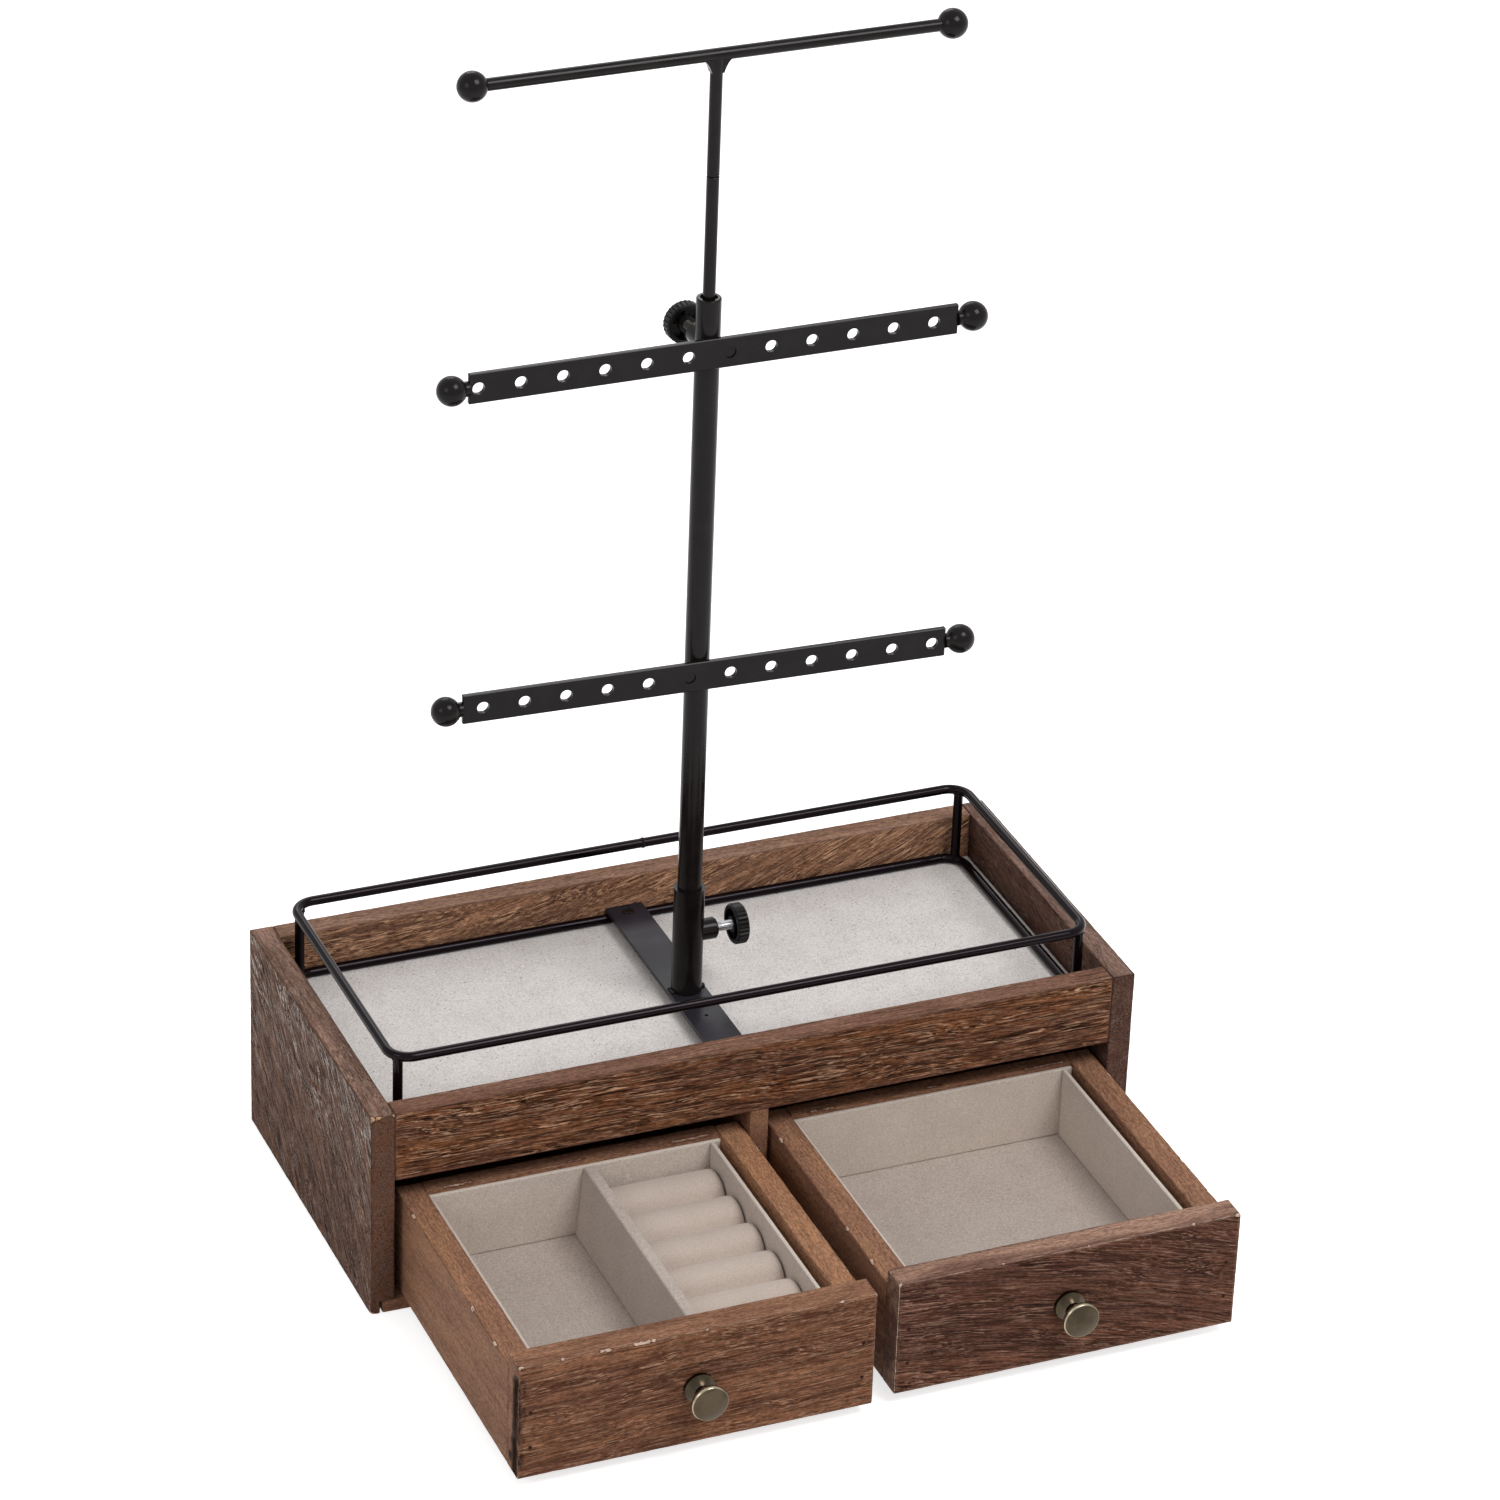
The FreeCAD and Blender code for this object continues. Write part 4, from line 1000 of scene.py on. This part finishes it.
def roll_cover():
    """Closed skin: rings across the drawer, each up the back, over the rolls, down the front and under."""
    over, creases = roll_outline()
    foot = pad_low.z
    shares = [step / depth_steps for step in range(1, depth_steps)]
    up_the_back = [(over[0][0], foot + (over[0][1] - foot) * share) for share in shares]
    down_the_front = [(over[-1][0], over[-1][1] + (foot - over[-1][1]) * share) for share in shares]
    ring = up_the_back + over + down_the_front + [(y, foot) for y, _ in reversed(over)]
    width, first = len(ring), len(up_the_back)
    points, quads = [], []
    for column in range(skin_columns + 1):
        x = pad_low.x + skin_inset + (pad_high.x - pad_low.x - 2 * skin_inset) * column / skin_columns
        droop = end_droop * max(0, 1 - min(column, skin_columns - column)) ** 2
        points += [(x, y, z - droop * (z - foot) / (pad_high.z - foot)) for y, z in ring]
    for column in range(skin_columns):
        for index in range(width):
            here, after = column * width + index, column * width + (index + 1) % width
            quads.append((here, after, after + width, here + width))
    for column, outward in ((0, -1), (skin_columns, 1)):
        base = column * width
        rows = [[base + first + index for index in range(len(over))]]
        for level in range(1, depth_steps):
            row = []
            for top in rows[0]:
                x, y, z = points[top]
                row.append(len(points))
                points.append((x, y, z + (foot - z) * level / depth_steps))
            rows.append(row)
        rows.append([base + width - 1 - index for index in range(len(over))])
        for upper, lower in zip(rows, rows[1:]):
            for index in range(len(over) - 1):
                quad = (upper[index], lower[index], lower[index + 1], upper[index + 1])
                quads.append(quad if outward < 0 else quad[::-1])
    return np.array(points), np.array(quads), [y for (y, _), crease in zip(over, creases) if crease]


def welded(points, quads):
    """Join points that lie in one place."""
    _, keep, order = np.unique(np.round(points / (0.01 * mm)), axis=0, return_index=True, return_inverse=True)
    return points[keep], order.ravel()[quads]


skin_points, skin_quads, crease_places = roll_cover()
skin_points, skin_quads = welded(skin_points, skin_quads)
rolls = mesh_object("ring_roll_cushion", skin_points, skin_quads)
print("roll cover", len(rolls.data.vertices), "points")


def pinned_points(points):
    """The foot, and the stitched creases between the rolls."""
    top = pad_high.z - crease_height - 2 * skin_slack
    creases = np.array(crease_places)
    on_crease = (np.abs(points[:, 1][:, None] - creases).min(1) < 0.05 * mm) & (points[:, 2] > top)
    return np.flatnonzero((points[:, 2] < pad_low.z + 0.1 * mm) | on_crease)


def inflate(piece, pinned):
    """Run a short cloth simulation and keep its shape, with each point's travel capped."""
    rest = np.array([vertex.co for vertex in piece.data.vertices])
    piece.vertex_groups.new(name="pinned").add([int(index) for index in pinned], 1.0, "REPLACE")
    cloth_modifier = piece.modifiers.new("cover", "CLOTH")
    for setting, value in dict(quality=8, mass=0.15, tension_stiffness=40, compression_stiffness=40,
                               shear_stiffness=10, bending_stiffness=0.6, vertex_group_mass="pinned",
                               use_pressure=True, uniform_pressure_force=air_pressure).items():
        setattr(cloth_modifier.settings, setting, value)
    cloth_modifier.settings.effector_weights.gravity = 0
    cloth_modifier.collision_settings.use_collision = False
    for frame_number in range(1, cloth_frames + 1):
        scene.frame_set(frame_number)
    evaluated = piece.evaluated_get(bpy.context.evaluated_depsgraph_get())
    moved = np.array([vertex.co for vertex in evaluated.data.vertices])
    piece.modifiers.remove(cloth_modifier)
    scene.frame_set(1)
    travel = moved - rest
    length = np.linalg.norm(travel, axis=1)
    print("cover moved up to", round(float(length.max()) / mm, 2), "mm")
    travel *= np.minimum(1, most_move / np.maximum(length, 1e-9))[:, None]
    shaped = np.clip(rest + travel, np.array(pad_low), np.array(pad_high))
    piece.data.vertices.foreach_set("co", shaped.ravel())
    piece.vertex_groups.clear()
    piece.data.update()


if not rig.quick():
    inflate(rolls, pinned_points(skin_points))
rounding = rolls.modifiers.new("rounding", "SUBSURF")
rounding.levels = rounding.render_levels = 1
rolls.data.materials.append(roll_flannel)
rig.padded(seat(rolls, "left_drawer", "ring_roll_fabric", "left_drawer_ring_rolls"), fill=0.8)

# %% [markdown]
# The tree and the gallery are steel under a satin black powder coat. Such a coat has a very fine orange
# peel, which softens each highlight, and it is a little glossier in some places than in others. The metal
# pieces keep the meshes of the model, since their shapes are already exact.

# %% Metal and plastic finishes
coat, given, results = new_group("ShaderNodeTree", "powder_coat", {
    "Vector": "Vector", "Peel": 0.0005}, ("Height", "Patch"))
fill(results, Height=noise_of_size(given["Vector"], given["Peel"], 2.0, 0.5),
     Patch=noise_of_size(given["Vector"], 0.012, 3.0))


def coated(name, colour, dusty, rough_low, rough_high, specular=0.17, peel=0.55, tint=(1, 1, 1)):
    """Satin coat with a fine peel and patches of gloss."""
    material, tree, shader = new_material(name)
    layers = put("ShaderNodeGroup", {"node_tree": coat}, Peel=peel * mm, Vector=object_place(tree)).outputs
    fill(shader.inputs, Base_Color=blend(ramp(layers["Patch"], 0.4, 0.7), (*colour, 1), (*dusty, 1)),
         Roughness=ramp(layers["Patch"], 0.3, 0.7, rough_low, rough_high), Specular_IOR_Level=specular,
         Specular_Tint=(*tint, 1), Normal=bumped(0.12, 0.0001, layers["Height"]))
    return material


def bare_metal(name, colour, tarnish, rough_low, rough_high):
    """Plated metal with cloudy tarnish."""
    material, tree, shader = new_material(name)
    layers = put("ShaderNodeGroup", {"node_tree": coat}, Peel=0.3 * mm, Vector=object_place(tree)).outputs
    cloud = ramp(layers["Patch"], 0.35, 0.65)
    fill(shader.inputs, Base_Color=blend(cloud, (*colour, 1), (*tarnish, 1)), Metallic=1.0,
         Roughness=ramp(cloud, 0.0, 1.0, rough_low, rough_high))
    return material


black_steel = coated("black_steel", (0.0066, 0.0046, 0.0046), (0.0105, 0.0080, 0.0082), 0.15, 0.24, 0.14)
wire_coat = coated("wire_coat", (0.0024, 0.0008, 0.0014), (0.0036, 0.0014, 0.0022), 0.08, 0.12, 0.12,
                   tint=(1.0, 0.84, 0.93))
# The strap's coat is a lighter, rougher copy of the black coat; its lighter base colour is painted sheen.
strap_coat = coated("strap_coat", (0.0150, 0.0125, 0.0180), (0.0200, 0.0170, 0.0235), 0.30, 0.40, 0.20)
black_plastic = coated("black_plastic", (0.004, 0.0036, 0.0034), (0.009, 0.0085, 0.008), 0.34, 0.5, peel=0.9)
nail_steel = coated("nail_steel", (0.030, 0.012, 0.007), (0.042, 0.018, 0.010), 0.6, 0.8, 0.05)
dull_zinc = bare_metal("dull_zinc", (0.10, 0.095, 0.09), (0.05, 0.046, 0.042), 0.30, 0.45)
zinc = bare_metal("zinc_plate", (0.62, 0.63, 0.65), (0.40, 0.40, 0.42), 0.18, 0.35)
rim_highlight_brass = (0.48, 0.42, 0.30, 1)


def knob_brass(side):
    """Old brass, left dark, with a painted highlight brighter round the disc's rim."""
    low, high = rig.box(side + "_drawer_knob")
    material = bare_metal(side + "_knob_brass", (0.075, 0.057, 0.037), (0.046, 0.036, 0.024), 0.18, 0.32)
    tree = material.node_tree
    base = tree.nodes["Principled BSDF"].inputs["Base Color"]
    middle = (low + high) / 2
    centred = put("ShaderNodeMapping", Vector=object_place(tree),
                  Location=(-middle.x, -low.y, -middle.z)).outputs[0]
    flat = vector_maths("MULTIPLY", centred, (1, 0, 1))
    from_axis = put("ShaderNodeVectorMath", {"operation": "LENGTH"}, i0=flat).outputs["Value"]
    rim = (high.x - low.x) / 2
    # A lighter band round the rim: a painted highlight.
    rim_highlight = times(ramp(from_axis, rim * 0.90, rim * 0.985), 0.8)
    tree.links.new(blend(rim_highlight, base.links[0].from_socket, rim_highlight_brass), base)
    return material


finishes = {"black_steel": black_steel, "black_plastic": black_plastic, "zinc": zinc}
for name, piece in nodes.items():
    if piece.hide_render:
        continue
    finish = finishes.get(slots[name]) or knob_brass(name.split("_")[0])
    if name.startswith("gallery"):
        finish = wire_coat
    elif name == "cross_strap":
        finish = strap_coat
    piece.data.materials.clear()
    piece.data.materials.append(finish)
print("metal nodes", sum(not piece.hide_render for piece in nodes.values()))

# %% [markdown]
# Hand welding leaves small lumps where a post meets a wire, at the foot of the socket and behind the bars.
# A Geometry Nodes tree sets a small ball on each point of a mesh, turns and scales each at random from a
# fixed seed, and makes them real. The points come from rings worked out round each joint.

# %% Weld beads as Geometry Nodes
beads, given, results = new_group("GeometryNodeTree", "weld_beads", {
    "Geometry": "Geometry", "Bead": 0.0006, "Seed": 1, "Finish": "Material"}, ("Geometry",))
ball = put("GeometryNodeMeshIcoSphere", Radius=given["Bead"], Subdivisions=2)
growth, turns = [put("FunctionNodeRandomValue", {"data_type": "FLOAT_VECTOR"}, Min=(least,) * 3,
                     Max=(most,) * 3, Seed=given["Seed"]).outputs["Value"]
                 for least, most in ((0.7, 1.35), (0.0, 6.0))]
placed = put("GeometryNodeInstanceOnPoints", Points=given["Geometry"], Instance=ball.outputs["Mesh"],
             Rotation=turns, Scale=growth)
give_back(placed.outputs[0])


def ring(centre, axis, radius, count, first=0.0):
    """Points round an axis, in metres."""
    axis = Vector(axis).normalized()
    side = axis.orthogonal().normalized()
    turns = [Matrix.Rotation(math.radians(first + 360 * index / count), 3, axis) for index in range(count)]
    return [Vector(centre) + turn @ side * radius for turn in turns]


def weld(name, body, points, bead, seed):
    """One piece of weld lumps on a body."""
    piece = mesh_object(name, np.array(points), np.empty((0, 4), int))
    through_nodes(piece, beads, Bead=bead * mm, Seed=seed, Finish=black_steel)
    print(name, len(points), "beads")
    return seat(piece, body, "black_steel")


upper_low, upper_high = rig.box("gallery_upper_loop")
wire_radius = (upper_high.z - upper_low.z) / 2
post_low, post_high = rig.box("gallery_posts")
lower_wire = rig.box("gallery_lower_loop")[1].z - wire_radius
upper_wire = upper_low.z + wire_radius
corner_points = []
for x in (post_low.x + wire_radius, post_high.x - wire_radius):
    for y in (post_low.y + wire_radius, post_high.y - wire_radius):
        for z in (lower_wire + 0.85 * wire_radius, upper_wire - 0.85 * wire_radius):
            corner_points += ring((x, y, z), (0, 0, 1), wire_radius * 0.95, 9)
weld("gallery_welds", "case", corner_points, 0.5, 3)

socket_low, socket_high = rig.box("socket_tube")
mast_axis = Vector(((socket_low.x + socket_high.x) / 2, (socket_low.y + socket_high.y) / 2, 0))
foot = mast_axis + Vector((0, 0, socket_low.z + 0.3 * mm))
lump_reach = (socket_high.x - socket_low.x) / 2 + 0.5 * mm
lumps = [foot + Vector((math.cos(math.radians(turn)), math.sin(math.radians(turn)), 0)) * lump_reach
         for turn in (168, 176, 186, 196, -4, 3)]
weld("socket_welds", "case", lumps, 1.0, 5)

butt_gap = 0.25 * mm
butt = []
for offset, first in ((-butt_gap, 0), (butt_gap, 14)):
    middle = (3 * mm + offset, upper_high.y - wire_radius, upper_wire)
    butt += ring(middle, (1, 0, 0), wire_radius - 0.1 * mm, 12, first)
weld("butt_weld", "case", butt, 0.42, 7)

# %% [markdown]
# The two clamping screws have a rolled thread. One Geometry Nodes tree makes it: a fine cylinder is pushed
# in and out by a triangle wave that climbs one pitch for each turn, and the result is moved to its place.

# %% Screw threads as Geometry Nodes
thread, given, results = new_group("GeometryNodeTree", "rolled_thread", {
    "Geometry": "Geometry", "Radius": 0.002, "Length": 0.02, "Pitch": 0.0007, "Depth": 0.0004,
    "Place": "Vector", "Turn": "Vector", "Finish": "Material"}, ("Geometry",))
rows_per_turn = 8.0
rows = times(maths("DIVIDE", given["Length"], given["Pitch"]), rows_per_turn)
bar = put("GeometryNodeMeshCylinder", Vertices=36, Side_Segments=rows, Radius=given["Radius"],
          Depth=given["Length"])
spot = put("ShaderNodeSeparateXYZ", i0=thread.nodes.new("GeometryNodeInputPosition").outputs[0]).outputs
around = maths("DIVIDE", maths("ARCTAN2", spot["Y"], spot["X"]), 2 * math.pi)
climb = maths("SUBTRACT", maths("DIVIDE", spot["Z"], given["Pitch"]), around)
wave = ramp(maths("PINGPONG", climb, 0.5), 0.06, 0.40)
tip = maths("SUBTRACT", times(given["Length"], 0.5), maths("ABSOLUTE", spot["Z"]))
inward = times(maths("MAXIMUM", wave, ramp(tip, 0.0, 0.0008, 1.0, 0.0)), given["Depth"])
share = maths("SUBTRACT", 1.0, maths("DIVIDE", inward, given["Radius"]))
shaped = put("ShaderNodeCombineXYZ", X=times(spot["X"], share), Y=times(spot["Y"], share),
             Z=spot["Z"]).outputs[0]
cut = put("GeometryNodeSetPosition", Geometry=bar.outputs["Mesh"], Position=shaped)
turned = put("GeometryNodeTransform", Geometry=cut.outputs[0], Translation=given["Place"],
             Rotation=given["Turn"])
give_back(turned.outputs[0])


def threaded(screw, plating):
    """Replace a clamping screw's plain shank by a threaded one."""
    low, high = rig.box(screw + "_shank")
    knob_low, knob_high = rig.box(screw + "_knob")
    middle = (low + high) / 2
    outward = (knob_low + knob_high) / 2 - mast_axis
    outward.z = 0
    outward.normalize()
    extent = high - low
    along_x, along_y = abs(outward.x), abs(outward.y)
    length = extent.x * along_x + extent.y * along_y - 2 * extent.z * along_x * along_y - 0.15 * mm
    piece = add_object(screw + "_thread", bpy.data.meshes.new(screw + "_thread"))
    through_nodes(piece, thread, Radius=(high.z - low.z) / 2, Length=length, Place=tuple(middle),
                  Turn=(0.0, math.pi / 2, math.atan2(outward.y, outward.x)), Finish=plating)
    print(piece.name, len(piece.data.polygons), "faces")
    seat(piece, body_of(screw + "_shank"), slots[screw + "_shank"], screw + "_shank")


threaded("base_screw", zinc)
threaded("mast_screw", dull_zinc)

# %% [markdown]
# Small fasteners are turned shapes. The nails have small flat heads that stand a hair above the wood, the
# screw in the strap is flush and has a round socket, and a ring of weld shows on the strap beside it.

# %% Nails and the strap screw
def turned_mesh(profile, sides, place, axis):
    """Points and quads of a lathe shape: pairs of radius and height, turned about an axis at a place."""
    turn = Vector((0, 0, 1)).rotation_difference(Vector(axis)).to_matrix()
    points, quads = [], []
    for radius, height in profile:
        for index in range(sides):
            angle = 2 * math.pi * index / sides
            spot = Vector((radius * math.cos(angle), radius * math.sin(angle), height)) * mm
            points.append(Vector(place) + turn @ spot)
    for row in range(len(profile) - 1):
        for index in range(sides):
            after = (index + 1) % sides
            quads.append((row * sides + index, row * sides + after, (row + 1) * sides + after,
                          (row + 1) * sides + index))
    return points, quads


def turned_piece(name, profile, sides, places, axis, finish):
    """One mesh of equal lathe shapes in one finish."""
    points, quads = [], []
    for place in places:
        more_points, more_quads = turned_mesh(profile, sides, place, axis)
        quads += [tuple(len(points) + index for index in quad) for quad in more_quads]
        points += more_points
    piece = mesh_object(name, np.array(points), np.array(quads))
    sharp = piece.modifiers.new("sharp corners", "EDGE_SPLIT")
    sharp.split_angle = math.radians(40)
    piece.data.materials.append(finish)
    return piece


up_axis = (0, 0, 1)
nail_sides, screw_sides = 14, 28
nail_radius = 0.6 * mm
nail_profile = [(0.03, -22), (0.45, -21.4), (0.48, -0.8), (0.7, -0.4), (0.75, 0.2), (0.65, 0.23), (0.4, 0.1),
                (0.03, 0.05)]
for side in ("left", "right"):
    low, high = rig.box(side + "_drawer_brads")
    heads = [(x, low.y, z) for x in (low.x + nail_radius, high.x - nail_radius)
             for z in (low.z + nail_radius, high.z - nail_radius)]
    nails = turned_piece(side + "_drawer_nails", nail_profile, nail_sides, heads, (0, -1, 0), nail_steel)
    seat(nails, side + "_drawer", slots[side + "_drawer_brads"], side + "_drawer_brads")
low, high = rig.box("strap_screw")
screw_length = (high.z - low.z) / mm
screw_profile = [(0.05, -screw_length), (1.2, 0.4 - screw_length), (1.45, -1.6), (2.815, -0.01), (2.81, 0.0),
                 (0.9, 0.0), (0.8, -0.1), (0.75, -0.7), (0.05, -0.75)]
screw_place = ((low.x + high.x) / 2, (low.y + high.y) / 2, high.z)
strap_head = turned_piece("strap_screw_turned", screw_profile, screw_sides, [screw_place], up_axis,
                          strap_coat)
seat(strap_head, body_of("strap_screw"), slots["strap_screw"], "strap_screw")
strap_low, strap_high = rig.box("cross_strap")
spot_inset = 5.5 * mm
spot_profile = [(2.7, -0.1), (2.6, 0.16), (2.2, 0.34), (1.8, 0.14), (0.05, 0.04)]
spot_place = ((strap_low.x + strap_high.x) / 2, strap_high.y - spot_inset, strap_high.z)
spot = turned_piece("strap_spot_weld", spot_profile, screw_sides, [spot_place], up_axis, black_steel)
seat(spot, body_of("strap_screw"), slots["strap_screw"])
print("nails, strap screw and spot weld ready")

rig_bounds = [list(corner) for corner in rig.bounds()]
with open("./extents.json", "w") as size_file:
    json.dump({"cad": cad_box, "visual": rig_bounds}, size_file)
